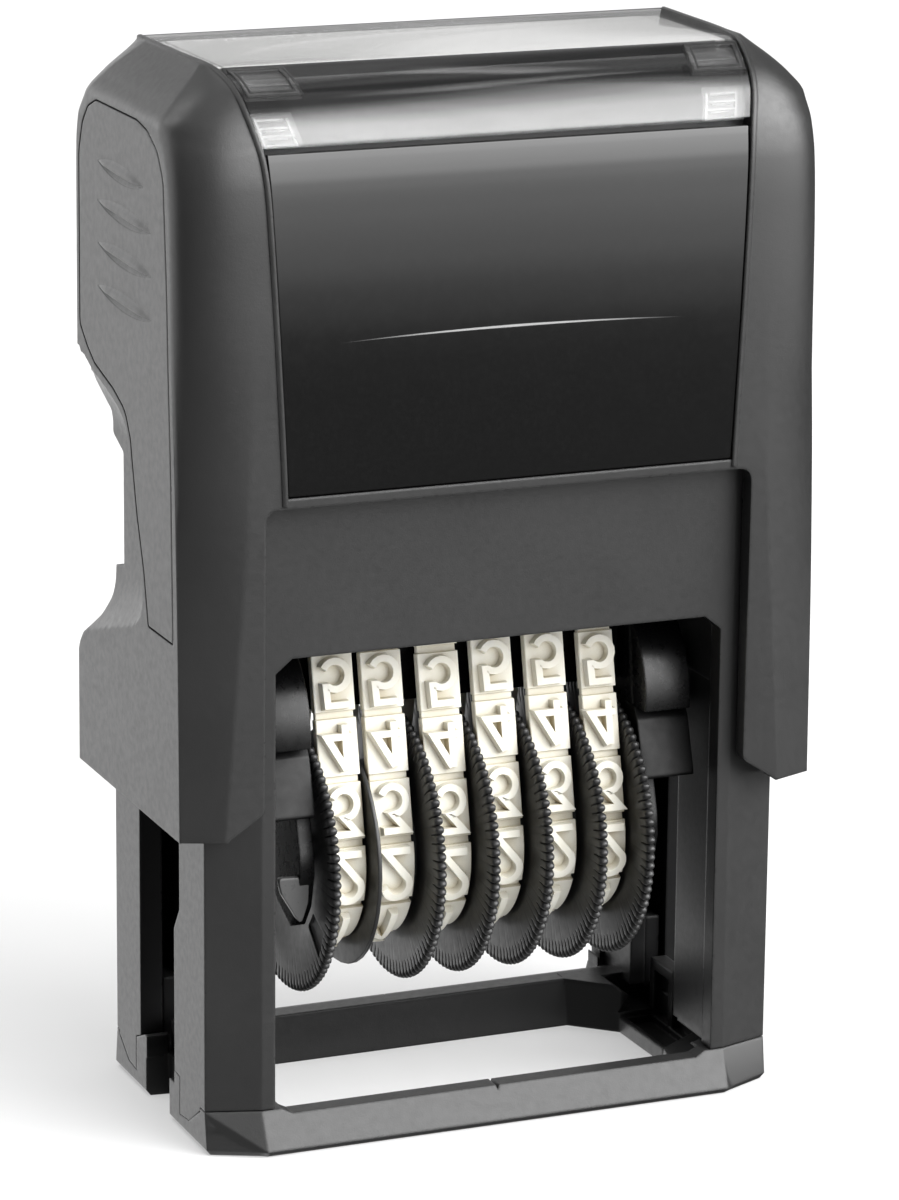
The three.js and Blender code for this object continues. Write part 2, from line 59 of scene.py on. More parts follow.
# ------------------------------------------------------------ curves and outlines
def smooth_curve(knots, values, at):
    """Shape-preserving cubic through the points, no overshoot."""
    knots, values, at = (np.asarray(a, float) for a in (knots, values, at))
    step = np.diff(knots)
    slope = np.diff(values) / step
    tangent = np.zeros(len(knots))
    for i in range(1, len(knots) - 1):
        before, after = slope[i - 1], slope[i]
        if before * after > 0:
            w1 = 2 * step[i] + step[i - 1]
            w2 = step[i] + 2 * step[i - 1]
            tangent[i] = (w1 + w2) / (w1 / before + w2 / after)
    tangent[0], tangent[-1] = slope[0], slope[-1]
    i = np.clip(np.searchsorted(knots, at) - 1, 0, len(step) - 1)
    t = (at - knots[i]) / step[i]
    return (
        values[i] * (1 + 2 * t) * (1 - t) ** 2
        + step[i] * tangent[i] * t * (1 - t) ** 2
        + values[i + 1] * t * t * (3 - 2 * t)
        + step[i] * tangent[i + 1] * t * t * (t - 1)
    )


def smooth_table(knots, table, at):
    """Every column of a table, resampled."""
    return np.stack([smooth_curve(knots, column, at) for column in table.T], axis=1)


def fillet(points, radius, steps=5):
    """Round the corners of a closed outline; radius is one value or one per corner."""
    out = []
    for i, point in enumerate(points):
        r = radius[i] if isinstance(radius, list) else radius
        near = (point, points[i - 1], points[(i + 1) % len(points)])
        p, before, after = (np.array(q, float) for q in near)
        u, w = before - p, after - p
        len_u, len_w = np.linalg.norm(u), np.linalg.norm(w)
        u, w = u / len_u, w / len_w
        angle = math.acos(max(-1, min(1, float(u @ w))))
        if r <= 0 or angle > math.pi - 0.02:
            out.append(tuple(p))
            continue
        reach = min(r / math.tan(angle / 2), 0.46 * len_u, 0.46 * len_w)
        start, end = p + u * reach, p + w * reach
        for j in range(steps + 1):
            q = j / steps
            out.append(tuple((1 - q) ** 2 * start + 2 * q * (1 - q) * p + q * q * end))
    return out


def mirrored(points):
    """An outline's right half, completed across X = 0."""
    return points + [(-x, y) for x, y in reversed(points)]


def on_side(points, side):
    """An X, Y outline for one side, wound the same way on both."""
    placed = [(side * x, y) for x, y in points]
    return placed if side > 0 else placed[::-1]


def inset(points, distance):
    """The outline moved inwards."""
    out = []
    for i, point in enumerate(points):
        before, after = np.array(points[i - 1]), np.array(points[(i + 1) % len(points)])
        p = np.array(point)
        e1, e2 = p - before, after - p
        e1, e2 = e1 / np.linalg.norm(e1), e2 / np.linalg.norm(e2)
        n1, n2 = np.array((-e1[1], e1[0])), np.array((-e2[1], e2[0]))
        both = n1 + n2
        out.append(tuple(p + both * distance / max(0.25, both @ n1)))
    return out


# ----------------------------------------------------------------- making solids
def mesh_object(vertices, faces, name="part"):
    mesh = bpy.data.meshes.new(name)
    mesh.from_pydata([tuple(map(float, v)) for v in vertices], [], faces)
    bm = bmesh.new()
    bm.from_mesh(mesh)
    bmesh.ops.remove_doubles(bm, verts=bm.verts, dist=1e-5)
    bmesh.ops.recalc_face_normals(bm, faces=bm.faces)
    bm.to_mesh(mesh)
    bm.free()
    ob = bpy.data.objects.new(name, mesh)
    scene.collection.objects.link(ob)
    return ob


def ring_faces(n, rows, closed=False):
    """Quads between successive loops of n points."""
    faces = []
    for k in range(rows if closed else rows - 1):
        a, b = k * n, ((k + 1) % rows) * n
        faces += [[a + i, a + (i + 1) % n, b + (i + 1) % n, b + i] for i in range(n)]
    return faces


def prism(points, low, high, axis):
    """An outline in the other two coordinates, drawn out along an axis."""
    put = {
        "x": lambda p, t: (t, p[0], p[1]),
        "y": lambda p, t: (p[0], t, p[1]),
        "z": lambda p, t: (p[0], p[1], t),
    }[axis]
    n = len(points)
    vertices = [put(p, low) for p in points] + [put(p, high) for p in points]
    return mesh_object(vertices, [list(range(n)), list(range(n, 2 * n))] + ring_faces(n, 2))


def side_prism(points, low, high, side):
    """A Y, Z outline between two distances from X = 0, on one side."""
    return prism(points, *sorted((side * low, side * high)), "x")


def both_sides(points, low, high):
    return [side_prism(points, low, high, side) for side, _ in SIDES]


def box(x0, x1, y0, y1, z0, z1):
    return prism([(x0, y0), (x1, y0), (x1, y1), (x0, y1)], z0, z1, "z")


def loft(loops, closed=False):
    """A body from loops of points, all of one count. Ends are capped unless closed."""
    n, rows = len(loops[0]), len(loops)
    faces = ring_faces(n, rows, closed)
    if not closed:
        faces += [list(range(n)), list(range((rows - 1) * n, rows * n))]
    return mesh_object([p for loop in loops for p in loop], faces)


# --------------------------------------------------------------- working on solids
def apply_modifiers(ob):
    """Replace the mesh by the one its modifiers give."""
    depsgraph = bpy.context.evaluated_depsgraph_get()
    mesh = bpy.data.meshes.new_from_object(ob.evaluated_get(depsgraph), depsgraph=depsgraph)
    old = ob.data
    ob.modifiers.clear()
    ob.data = mesh
    if old.users == 0:
        bpy.data.meshes.remove(old)


def remove(ob):
    mesh = ob.data
    bpy.data.objects.remove(ob)
    if mesh.users == 0:
        bpy.data.meshes.remove(mesh)


def boolean(ob, others, operation):
    for other in others:
        modifier = ob.modifiers.new("b", "BOOLEAN")
        modifier.operation = operation
        modifier.object = other
        modifier.solver = "MANIFOLD"
        apply_modifiers(ob)
        remove(other)


def cut(ob, *others):
    boolean(ob, others, "DIFFERENCE")


def add(ob, *others):
    boolean(ob, others, "UNION")


def mirror_copy(source):
    """A copy across X = 0."""
    mesh = source.data.copy()
    mesh.transform(Matrix.Scale(-1, 4, (1, 0, 0)))
    mesh.flip_normals()
    ob = bpy.data.objects.new("part", mesh)
    scene.collection.objects.link(ob)
    return ob


def join_flats(ob, weld, angle):
    """Weld slivers and join faces that lie in one plane."""
    bm = bmesh.new()
    bm.from_mesh(ob.data)
    bmesh.ops.remove_doubles(bm, verts=bm.verts, dist=weld)
    bmesh.ops.dissolve_limit(
        bm,
        angle_limit=math.radians(angle),
        use_dissolve_boundaries=False,
        verts=bm.verts,
        edges=bm.edges,
        delimit={"NORMAL"},
    )
    bm.to_mesh(ob.data)
    bm.free()


def add_bevel(ob, width, angle=30, segments=2):
    bevel = ob.modifiers.new("edge", "BEVEL")
    bevel.width = width
    bevel.segments = segments
    bevel.limit_method = "ANGLE"
    bevel.angle_limit = math.radians(angle)
    bevel.use_clamp_overlap = True
    bevel.harden_normals = False


def weight_normals(ob):
    weighted = ob.modifiers.new("normals", "WEIGHTED_NORMAL")
    weighted.keep_sharp = True
    weighted.weight = 60


def strip_attributes(mesh, *names):
    for name in names:
        attribute = mesh.attributes.get(name)
        if attribute is not None:
            mesh.attributes.remove(attribute)


def shade(ob, crease, even=False):
    """Smooth shading with creases above an angle; even keeps flats flat."""
    strip_attributes(ob.data, "custom_normal", "sharp_face")
    ob.data.shade_smooth()
    ob.data.set_sharp_from_angle(angle=math.radians(crease))
    if even:
        weight_normals(ob)


def ease_edges(ob, width, angle=30, segments=2, crease=30, even=False):
    """Bevel the edges sharper than an angle, then shade."""
    add_bevel(ob, width, angle, segments)
    apply_modifiers(ob)
    shade(ob, crease, even)


def finish(ob, name, body, material, replaces=None):
    """Scale to metres, name and colour a piece, attach it to its body and hide the node it replaces."""
    ob.data.transform(Matrix.Scale(MM, 4))
    ob.name = name
    ob.data.name = name
    ob.data.materials.clear()
    ob.data.materials.append(material)
    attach(ob, body)
    if replaces:
        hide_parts(replaces)


# -------------------------------------------------------------------- shader nodes
def linear(value):
    """Linear light of an 8-bit sRGB value."""
    c = value / 255.0
    return c / 12.92 if c <= 0.04045 else ((c + 0.055) / 1.055) ** 2.4


def rgb(r, g, b):
    return (linear(r), linear(g), linear(b), 1.0)


def grey(value):
    return rgb(value, value, value)


WHITE = (1, 1, 1, 1)


class Graph:
    """Shader nodes of a material or world."""

    math_rest = {}  # values of the inputs a math node leaves unused

    def __init__(self, block):
        block.use_nodes = True
        self.tree = block.node_tree
        self.tree.nodes.clear()

    def node(self, kind, inputs=None, **settings):
        node = self.tree.nodes.new(kind)
        for key, value in settings.items():
            setattr(node, key, value)
        for key, value in (inputs or {}).items():
            if isinstance(value, bpy.types.NodeSocket):
                self.tree.links.new(value, node.inputs[key])
            else:
                node.inputs[key].default_value = value
        return node

    def make(self, kind, inputs=None, **settings):
        """The first output of a new node."""
        return self.node(kind, inputs, **settings).outputs[0]

    def math(self, operation, a, b=0.0):
        inputs = {0: a, 1: b, **self.math_rest}
        return self.make("ShaderNodeMath", inputs, operation=operation)

    def span(self, value, source, to=(0, 1), kind="LINEAR"):
        """Map the range source onto the range to."""
        inputs = dict(enumerate((value, *source, *to)))
        return self.make("ShaderNodeMapRange", inputs, interpolation_type=kind)


class Material(Graph):
    math_rest = {2: 0.0}

    def __init__(self, name):
        self.block = bpy.data.materials.new(name)
        super().__init__(self.block)
        self.output = self.node("ShaderNodeOutputMaterial")
        self.place = self.node("ShaderNodeTexCoord").outputs["Object"]

    def surface(self, shader):
        self.tree.links.new(shader, self.output.inputs["Surface"])
        return self.block

    def noise(self, scale, detail=2.0, rough=0.5, place=None):
        inputs = {
            "Vector": place or self.place,
            "Scale": scale,
            "Detail": detail,
            "Roughness": rough,
        }
        return self.make("ShaderNodeTexNoise", inputs)

    def mix(self, factor, a, b):
        inputs = {0: factor, 6: a, 7: b}
        return self.node("ShaderNodeMix", inputs, data_type="RGBA").outputs[2]

    def bump(self, height, strength, distance, normal=None):
        inputs = {"Strength": strength, "Distance": distance, "Height": height}
        if normal is not None:
            inputs["Normal"] = normal
        return self.make("ShaderNodeBump", inputs)

    def edges(self, radius):
        """1 along edges and 0 on flats, and the bevelled normal it is read from."""
        bevelled = self.make("ShaderNodeBevel", {"Radius": radius}, samples=4)
        flat = self.node("ShaderNodeNewGeometry").outputs["Normal"]
        turn = self.node("ShaderNodeVectorMath", {0: bevelled, 1: flat}, operation="DOT_PRODUCT")
        return self.span(turn.outputs["Value"], (0.995, 0.90)), bevelled

    def openness(self, distance, samples, **settings):
        """Ambient occlusion: low in recesses."""
        kind = "ShaderNodeAmbientOcclusion"
        return self.node(kind, {"Distance": distance}, samples=samples, **settings).outputs["AO"]

    def principled(self, inputs):
        return self.surface(self.make("ShaderNodeBsdfPrincipled", inputs))


# ----------------------------------------------------------------------- materials
def plastic(
    name, tone, rough, edge, grain=9000, depth=0.35, edge_radius=0.00025,
    hollow=0.25, hollow_reach=0.012, only_local=False, inner_shade=None,
):
    """Moulded plastic: spark-eroded grain, faint mottling, edges lighter, partly as rubbed wear and
    partly as painted highlight.

    edge is how much lighter the edges are, as rubbed wear and painted highlight; hollow is
    what light recesses keep under painted shade; inner_shade is what light the inward faces keep.
    """
    m = Material(name)
    mottling = m.span(m.noise(scale=140, detail=3), (0.35, 0.65))
    colour = m.mix(mottling, grey(tone - 3), grey(tone))
    fine = m.noise(scale=grain, rough=0.6)
    coarse = m.noise(scale=grain * 0.38)
    edge_mask, bevelled = m.edges(edge_radius)
    patchy = m.span(m.noise(scale=900), (0.3, 0.7), to=(0.55, 1.0))
    # edges lighter: partly rubbed wear, partly painted highlight
    wear_and_highlight = m.math("MULTIPLY", edge_mask, patchy)
    colour = m.mix(wear_and_highlight, colour, grey(tone + edge))
    height = m.math("ADD", m.math("MULTIPLY", fine, 0.6), m.math("MULTIPLY", coarse, 0.4))
    normal = m.bump(height, strength=depth, distance=0.00003, normal=bevelled)
    gloss = m.noise(scale=grain * 0.2, detail=3)
    roughness = m.span(gloss, (0.3, 0.7), to=(rough - 0.04, rough + 0.05))
    roughness = m.math("SUBTRACT", roughness, m.math("MULTIPLY", wear_and_highlight, 0.06))
    # painted shade: recesses see little of the room, so their colour and sheen are darkened
    ao = m.openness(hollow_reach, samples=6, only_local=only_local)
    lit = m.span(ao, (0.3, 0.86), to=(hollow, 1.0))
    if inner_shade:
        # painted shade: faces turned towards the middle are darkened; the bottom strip is spared
        z = m.node("ShaderNodeSeparateXYZ", {0: m.place}).outputs[2]
        kind = "ShaderNodeVectorMath"
        level = m.make(kind, {0: m.place, 1: (1, 1, 0)}, operation="MULTIPLY")
        outward = m.make(kind, {0: level}, operation="NORMALIZE")
        true_normal = m.node("ShaderNodeNewGeometry").outputs["True Normal"]
        facing = m.node(kind, {0: outward, 1: true_normal}, operation="DOT_PRODUCT")
        outside = m.math(
            "MAXIMUM",
            m.span(facing.outputs["Value"], (-0.15, -0.02)),
            m.span(z, (0.0036, 0.0044), to=(0.6, 0.0)),
        )
        lit = m.math("MULTIPLY", lit, m.span(outside, (0.0, 1.0), to=(inner_shade, 1.0)))
    return m.principled({
        "Base Color": m.mix(lit, rgb(4, 4, 5), colour),
        "Roughness": roughness,
        "IOR": 1.5,
        "Normal": normal,
        "Specular IOR Level": m.math("MULTIPLY", lit, 0.5),
    })


def ivory_rubber():
    """Ivory rubber, a little translucent, with a soft bloom."""
    m = Material("ivory_rubber")
    cloud = m.span(m.noise(scale=420, detail=4, rough=0.6), (0.3, 0.7))
    colour = m.mix(cloud, rgb(236, 234, 224), rgb(226, 222, 208))
    # painted shade: crevices round plates and numerals are darkened to a dull ivory
    lit = m.span(m.openness(0.0009, samples=4), (0.25, 0.85))
    colour = m.mix(lit, rgb(184, 173, 146), colour)
    grain = m.noise(scale=6500, detail=3, rough=0.6)
    normal = m.bump(grain, strength=0.25, distance=0.00002)
    return m.principled({
        "Base Color": colour,
        "Roughness": m.span(m.noise(scale=1500), (0.3, 0.7), to=(0.45, 0.6)),
        "Subsurface Weight": 0.12,
        "Subsurface Radius": (0.0012, 0.001, 0.0007),
        "Subsurface Scale": 0.5,
        "Normal": normal,
    })


def gloss_label():
    """Printed plate under clear lacquer: black, with one thin curved hairline."""
    arc_top, arc_bend, arc_end = 0.06415, 1.6, 0.0145
    m = Material("gloss_label")
    place = m.node("ShaderNodeSeparateXYZ", {0: m.place})
    x, z = place.outputs[0], place.outputs[2]
    # line height over X: a shallow arc, fading out at both ends
    sag = m.math("MULTIPLY", m.math("MULTIPLY", x, x), arc_bend)
    arc = m.math("SUBTRACT", arc_top, sag)
    off_line = m.math("ABSOLUTE", m.math("SUBTRACT", z, arc))
    width = m.span(m.math("ABSOLUTE", x), (0.0, arc_end), to=(0.00009, 0.00002))
    near = m.math("DIVIDE", off_line, width)
    line = m.span(near, (0.6, 1.4), to=(1.0, 0.0), kind="SMOOTHSTEP")
    fade = m.span(m.math("ABSOLUTE", x), (0.004, arc_end), to=(1.0, 0.0), kind="SMOOTHSTEP")
    line = m.math("MULTIPLY", line, fade)
    dust = m.span(m.noise(scale=2600), (0.45, 0.8))
    colour = m.mix(line, m.mix(dust, grey(11), grey(15)), grey(150))
    normal = m.bump(m.noise(scale=260), strength=0.03, distance=0.00004)
    return m.principled({
        "Base Color": colour,
        "Roughness": m.span(m.noise(scale=500, detail=3), (0.35, 0.7), to=(0.05, 0.09)),
        "IOR": 1.5,
        "Normal": normal,
        "Coat Weight": 0.2,
        "Coat Roughness": 0.03,
    })


def clear(name, tint=0.93, milk=0.0, rough=0.03, rim=0.0, sheen=1.0):
    """Clear polystyrene: tint is what it lets through, rim darkens it seen edge-on."""
    m = Material(name)
    facing = m.node("ShaderNodeLayerWeight").outputs["Facing"]
    # Schlick's sheen, the same from both sides of a wall since rays run straight through
    fresnel = m.math("ADD", m.math("MULTIPLY", m.math("POWER", facing, 5.0), 0.96), 0.04)
    fresnel = m.math("MULTIPLY", fresnel, sheen)
    dusk = m.span(facing, (0.45, 0.95), to=(tint, tint * (1 - rim)))
    through = m.make("ShaderNodeCombineColor", {0: dusk, 1: dusk, 2: dusk})
    transparent = m.make("ShaderNodeBsdfTransparent", {0: through})
    roughness = m.span(m.noise(scale=900), (0.3, 0.7), to=(rough, rough + 0.02))
    glossy = m.make("ShaderNodeBsdfGlossy", {"Color": WHITE, "Roughness": roughness})
    shader = m.make("ShaderNodeMixShader", {0: fresnel, 1: transparent, 2: glossy})
    if milk:
        diffuse = m.make("ShaderNodeBsdfDiffuse", {"Color": grey(225)})
        cloud = m.span(m.noise(scale=700, detail=3), (0.3, 0.7), to=(milk * 0.7, milk * 1.2))
        shader = m.make("ShaderNodeMixShader", {0: cloud, 1: shader, 2: diffuse})
    # shadows see only the plain tint
    shadow_ray = m.node("ShaderNodeLightPath").outputs["Is Shadow Ray"]
    plain = m.make("ShaderNodeBsdfTransparent", {0: (tint, tint, tint, 1)})
    return m.surface(m.make("ShaderNodeMixShader", {0: shadow_ray, 1: shader, 2: plain}))


def spring_steel():
    m = Material("spring_steel")
    stretched = m.make("ShaderNodeMapping", {"Vector": m.place, "Scale": (1, 1, 12)})
    drawn = m.noise(scale=900, detail=3, rough=0.6, place=stretched)
    return m.principled({
        "Base Color": m.mix(m.span(drawn, (0.3, 0.7)), grey(152), grey(178)),
        "Metallic": 1.0,
        "Roughness": m.span(drawn, (0.3, 0.7), to=(0.22, 0.36)),
        "Normal": m.bump(drawn, strength=0.15, distance=0.00002),
    })


def card_white():
    m = Material("card_white")
    fibre = m.noise(scale=5200, detail=4, rough=0.7)
    return m.principled({
        "Base Color": m.mix(m.span(fibre, (0.35, 0.7)), grey(206), rgb(217, 216, 213)),
        "Roughness": m.span(fibre, (0.3, 0.7), to=(0.55, 0.75)),
        "Normal": m.bump(fibre, strength=0.2, distance=0.00002),
    })


def ink_foam():
    m = Material("ink_foam")
    cells = m.node("ShaderNodeTexVoronoi", {"Vector": m.place, "Scale": 2600})
    cloud = m.span(m.noise(scale=500, detail=3), (0.3, 0.7))
    return m.principled({
        "Base Color": m.mix(cloud, rgb(18, 17, 22), rgb(30, 28, 40)),
        "Roughness": m.span(m.noise(scale=800), (0.3, 0.7), to=(0.35, 0.8)),
        "Normal": m.bump(cells.outputs["Distance"], strength=0.9, distance=0.00015),
    })


def floor_pale():
    """Pale floor that glows a little of itself."""
    m = Material("floor_pale")
    colour = m.mix(m.span(m.noise(scale=30), (0.3, 0.7)), grey(176), grey(180))
    diffuse = m.make("ShaderNodeBsdfDiffuse", {"Color": colour})
    glow = m.make("ShaderNodeEmission", {"Color": WHITE, "Strength": 0.42})
    return m.surface(m.make("ShaderNodeAddShader", {0: diffuse, 1: glow}))


ANTHRACITE = dict(tone=40, rough=0.34, edge=16, edge_radius=0.0003)
HOUSING = plastic("anthracite_plastic", **ANTHRACITE)
# the frame's copy of the anthracite plastic, with painted shade on its inward faces
FRAME = plastic("anthracite_plastic_frame_painted_shade", **ANTHRACITE, only_local=True, inner_shade=0.36)
GRIP = plastic("grip_plastic", tone=68, rough=0.4, grain=8000, edge=16)
DARK = plastic(
    "dark_plastic", tone=24, rough=0.28, grain=7000, depth=0.12, edge=8,
    hollow=0.14, hollow_reach=0.016,
)
WHEEL = plastic(
    "wheel_plastic", tone=43, rough=0.36, grain=7000, depth=0.2, edge=10,
    edge_radius=0.00012, hollow=0.5, hollow_reach=0.006,
)
# painted shade: the shields' plastic is darker than the carrier's
SHADED_SHIELD = plastic(
    "shield_plastic_painted_shade", tone=16, rough=0.5, grain=7000, depth=0.15, edge=8,
    hollow=0.1, hollow_reach=0.02,
)
# painted highlight: light grey plastic for the carrier tip where it catches the light
HEEL_HIGHLIGHT = plastic(
    "heel_painted_highlight", tone=96, rough=0.3, grain=6000, depth=0.15, edge=20, hollow=0.7,
)
RUBBER = ivory_rubber()
LABEL = gloss_label()
CLEAR = clear("clear_plastic")
CLEAR_CLIP = clear("clear_plastic_clips", tint=0.86, milk=0.03, rim=0.85, sheen=0.3)
MILKY = clear("clear_plastic_ribbed", tint=0.94, milk=0.05, rough=0.06, rim=0.6, sheen=0.1)
RIB_BARS = clear("clear_plastic_rib_bars", tint=0.85, milk=0.3, rough=0.1, rim=0.8, sheen=0.4)
# painted shade: the clip's edges get a dark tint
SHADED_RIMS = clear("clear_plastic_rims_painted_shade", tint=0.5, milk=0.02, rough=0.05, rim=0.8, sheen=0.6)
STEEL = spring_steel()
CARD = card_white()
FOAM = ink_foam()

# ---------------------------------------------------------------- carried-over CAD
NORMAL_DATA = ("custom_normal", "sharp_face", "sharp_edge")


def dress(name, material, bevel):
    """A CAD node keeps its mesh; its facets are joined and its edges rounded."""
    ob = nodes[name]
    strip_attributes(ob.data, *NORMAL_DATA)
    ob.data.shade_smooth()
    weld = ob.modifiers.new("weld", "WELD")
    weld.merge_threshold = 1e-5
    flats = ob.modifiers.new("flats", "DECIMATE")
    flats.decimate_type = "DISSOLVE"
    flats.angle_limit = math.radians(2.0)
    add_bevel(ob, bevel * MM)
    weight_normals(ob)
    ob.data.materials.clear()
    ob.data.materials.append(material)


# node, material, bevel width
for part in (
    ("carrier", DARK, 0.12),
    ("pivot_pin_left", STEEL, 0.15),
    ("pivot_pin_right", STEEL, 0.15),
    ("wheel_axle", STEEL, 0.12),
    ("print_bridge", DARK, 0.12),
    ("separator_disc", WHEEL, 0.08),
    ("ink_cartridge", DARK, 0.2),
    ("ink_pad", FOAM, 0.2),
    ("index_card", CARD, 0.05),
):
    dress(*part)

# ------------------------------------------------------------ frame and foot frame
FLANK_X = 23.84
SEAM_GAP = 0.07
# tongues of the frame that reach down into the foot: y, z, way the gap widens in y
TONGUES = [
    [(-4.66, 3.7, 1), (-4.66, 1.3, 1), (-6.7, 1.5, 1), (-9.23, 3.2, -1), (-9.3, 3.7, -1)],
    [(5.74, 3.7, -1), (5.74, 1.4, -1), (7.5, 1.6, 1), (9.9, 3.2, 1), (10.0, 3.7, 1)],
]
# tabs of the foot that stand up into the frame: y, z
TABS = [
    [(-4.62, 3.2), (-4.62, 4.33), (-3.35, 4.45), (-3.35, 3.2)],
    [(3.15, 3.2), (3.15, 5.0), (3.6, 5.05), (5.62, 4.2), (5.62, 3.2)],
]
# slanted facet at the foot's outer corners: x, y outlines at three levels
CORNER_BASE = [(23.5, 9.73), (23.5, 10.6), (19.3, 12.55), (18.6, 11.6)]
CORNER_LOW = [(23.84, 9.73), (23.84, 10.75), (19.4, 12.94), (18.6, 11.8)]
CORNER_HIGH = [(23.84, 9.73), (23.84, 10.33), (19.62, 11.65), (18.72, 10.75)]


def cad_copy(name):
    """A CAD node's shape in millimetres, to be worked further as a piece."""
    mesh = nodes[name].data.copy()
    strip_attributes(mesh, *NORMAL_DATA)
    mesh.transform(Matrix.Scale(1 / MM, 4))
    ob = bpy.data.objects.new("part", mesh)
    scene.collection.objects.link(ob)
    join_flats(ob, weld=0.002, angle=0.2)
    return ob


def finish_moulding(ob, name):
    join_flats(ob, weld=0.01, angle=0.4)
    ease_edges(ob, width=0.12, angle=11, crease=60, even=True)
    finish(ob, name + "_moulding", "base", FRAME, name)


def build_frame():
    frame = cad_copy("frame")
    for tongue in TONGUES:
        add(frame, *both_sides([(y, z) for y, z, _ in tongue], 22.95, FLANK_X))
    for tab in TABS:
        middle = sum(y for y, _ in tab) / len(tab)
        slot = [
            (y + math.copysign(SEAM_GAP, y - middle), z + (SEAM_GAP if z > 3.3 else 0))
            for y, z in tab
        ]
        cut(frame, *both_sides(slot, 21.9, 25))
    # upright ribs inside
    outline = [(-4.8, 3.7), (-3.8, 3.7), (-3.8, 25.6), (-4.2, 26.2), (-4.8, 26.2)]
    for side, _ in SIDES:
        add(frame, side_prism(fillet(outline, [0, 0, 0.4, 0.3, 0], 3), 18.9, 19.9, side))
    finish_moulding(frame, "frame")


def corner_facet(side, end):
    """One outer corner, ruled in strips since the facet is slightly twisted."""
    levels = [(CORNER_BASE, 0.0)]
    for k in range(10):
        q = k / 9
        outline = [
            ((1 - q) * a[0] + q * b[0], (1 - q) * a[1] + q * b[1])
            for a, b in zip(CORNER_LOW, CORNER_HIGH)
        ]
        levels.append((outline, 0.45 + 2.95 * q))
    return loft([[(side * x, end * y, z) for x, y in outline] for outline, z in levels])


def shape_bars(foot):
    """The bars across the front and rear of the foot."""
    # front bar: its top let in between the posts
    let_in = [
        (-18.6, -10.3), (-20.4, -9.0), (-20.4, -8.6),
        (20.4, -8.6), (20.4, -9.0), (18.6, -10.3),
    ]
    cut(foot, prism(let_in, -1, 3.3, "z"))
    # rear bar: thick, its top falling away to the rear, with a notch in the middle
    bar = [(6.3, 0), (6.55, 4.05), (8.4, 3.95), (10.6, 3.2), (10.6, 0)]
    add(foot, prism(bar, -20.9, 20.9, "x"))
    fall = [(8.4, 3.95), (11.7, 2.7), (13.6, 2.4), (13.6, 6), (8.4, 6)]
    cut(foot, prism(fall, -18.2, 18.2, "x"))
    cut(foot, prism([(-0.4, 4.4), (0, 2.35), (0.4, 4.4)], 8.6, 14, "y"))


def shape_opening(foot, side):
    """Corner block, ledge and toe beside the foot's opening."""
    outline = [(13.8, 6.5), (17.4, 3.2), (21.0, 3.2), (21.0, 8.0), (13.8, 8.0)]
    block = prism(on_side(outline, side), 0, 4.05, "z")
    groove = [(16.6, 4.3), (18.2, 3.1), (17.2, 1.7), (22, 1.7), (22, 4.3)]
    cut(block, prism([(side * x, z) for x, z in groove], 2, 6.2, "y"))
    add(foot, block)
    ledge = [(17.4, 3.4), (17.6, -4.6), (19.0, -7.6), (21.0, -7.6), (21.0, 3.4)]
    add(foot, prism(on_side(ledge, side), 0, 1.25, "z"))
    trough = [(17.9, 2.9), (18.05, -4.4), (19.2, -6.6), (20.2, -6.6), (20.2, 2.9)]
    cut(foot, prism(on_side(trough, side), 0.7, 1.6, "z"))
    toe = [
        [(17.6, -4.6, 0.0), (21.0, -4.6, 0.0), (21.0, -10.6, 0.0), (16.0, -10.6, 0.0)],
        [(17.7, -4.7, 1.3), (21.0, -4.7, 2.6), (21.0, -10.6, 3.0), (16.4, -10.6, 1.3)],
    ]
    add(foot, loft([[(side * x, y, z) for x, y, z in loop] for loop in toe]))


def bracket(side):
    """Upright bracket inside the flank, hollowed from its inner face."""
    outline = [(-0.65, 1.0), (-0.65, 6.1), (3.7, 6.1), (3.7, 1.0)]
    ob = side_prism(fillet(outline, [0, 0.25, 0.25, 0], 3), 20.3, 21.6, side)
    hollow = [(0.15, 0.4), (0.15, 5.2), (2.9, 5.2), (2.9, 0.4)]
    cut(ob, side_prism(hollow, 20.0, 21.1, side))
    return ob


def build_foot():
    foot = cad_copy("foot_frame")
    for tongue in TONGUES:
        slot = [
            (y + way * SEAM_GAP, z - (SEAM_GAP if z < 3.5 else 0))
            for y, z, way in tongue
        ]
        cut(foot, *both_sides(slot, 22.85, 25))
    for tab in TABS:
        add(foot, *both_sides(tab, 22.0, FLANK_X))
    for side, _ in SIDES:
        for end in (1, -1):
            add(foot, corner_facet(side, end))
    shape_bars(foot)
    for side, _ in SIDES:
        shape_opening(foot, side)
    for side, _ in SIDES:
        add(foot, bracket(side))
    finish_moulding(foot, "foot_frame")


build_frame()
build_foot()

# ------------------------------------------------------------- shapes of the cap
CAP_X, CAP_TOP = 26.335, 83.87
WING_X, STRIP_Z = 20.0, 51.5  # half width and top of the front opening between the wings

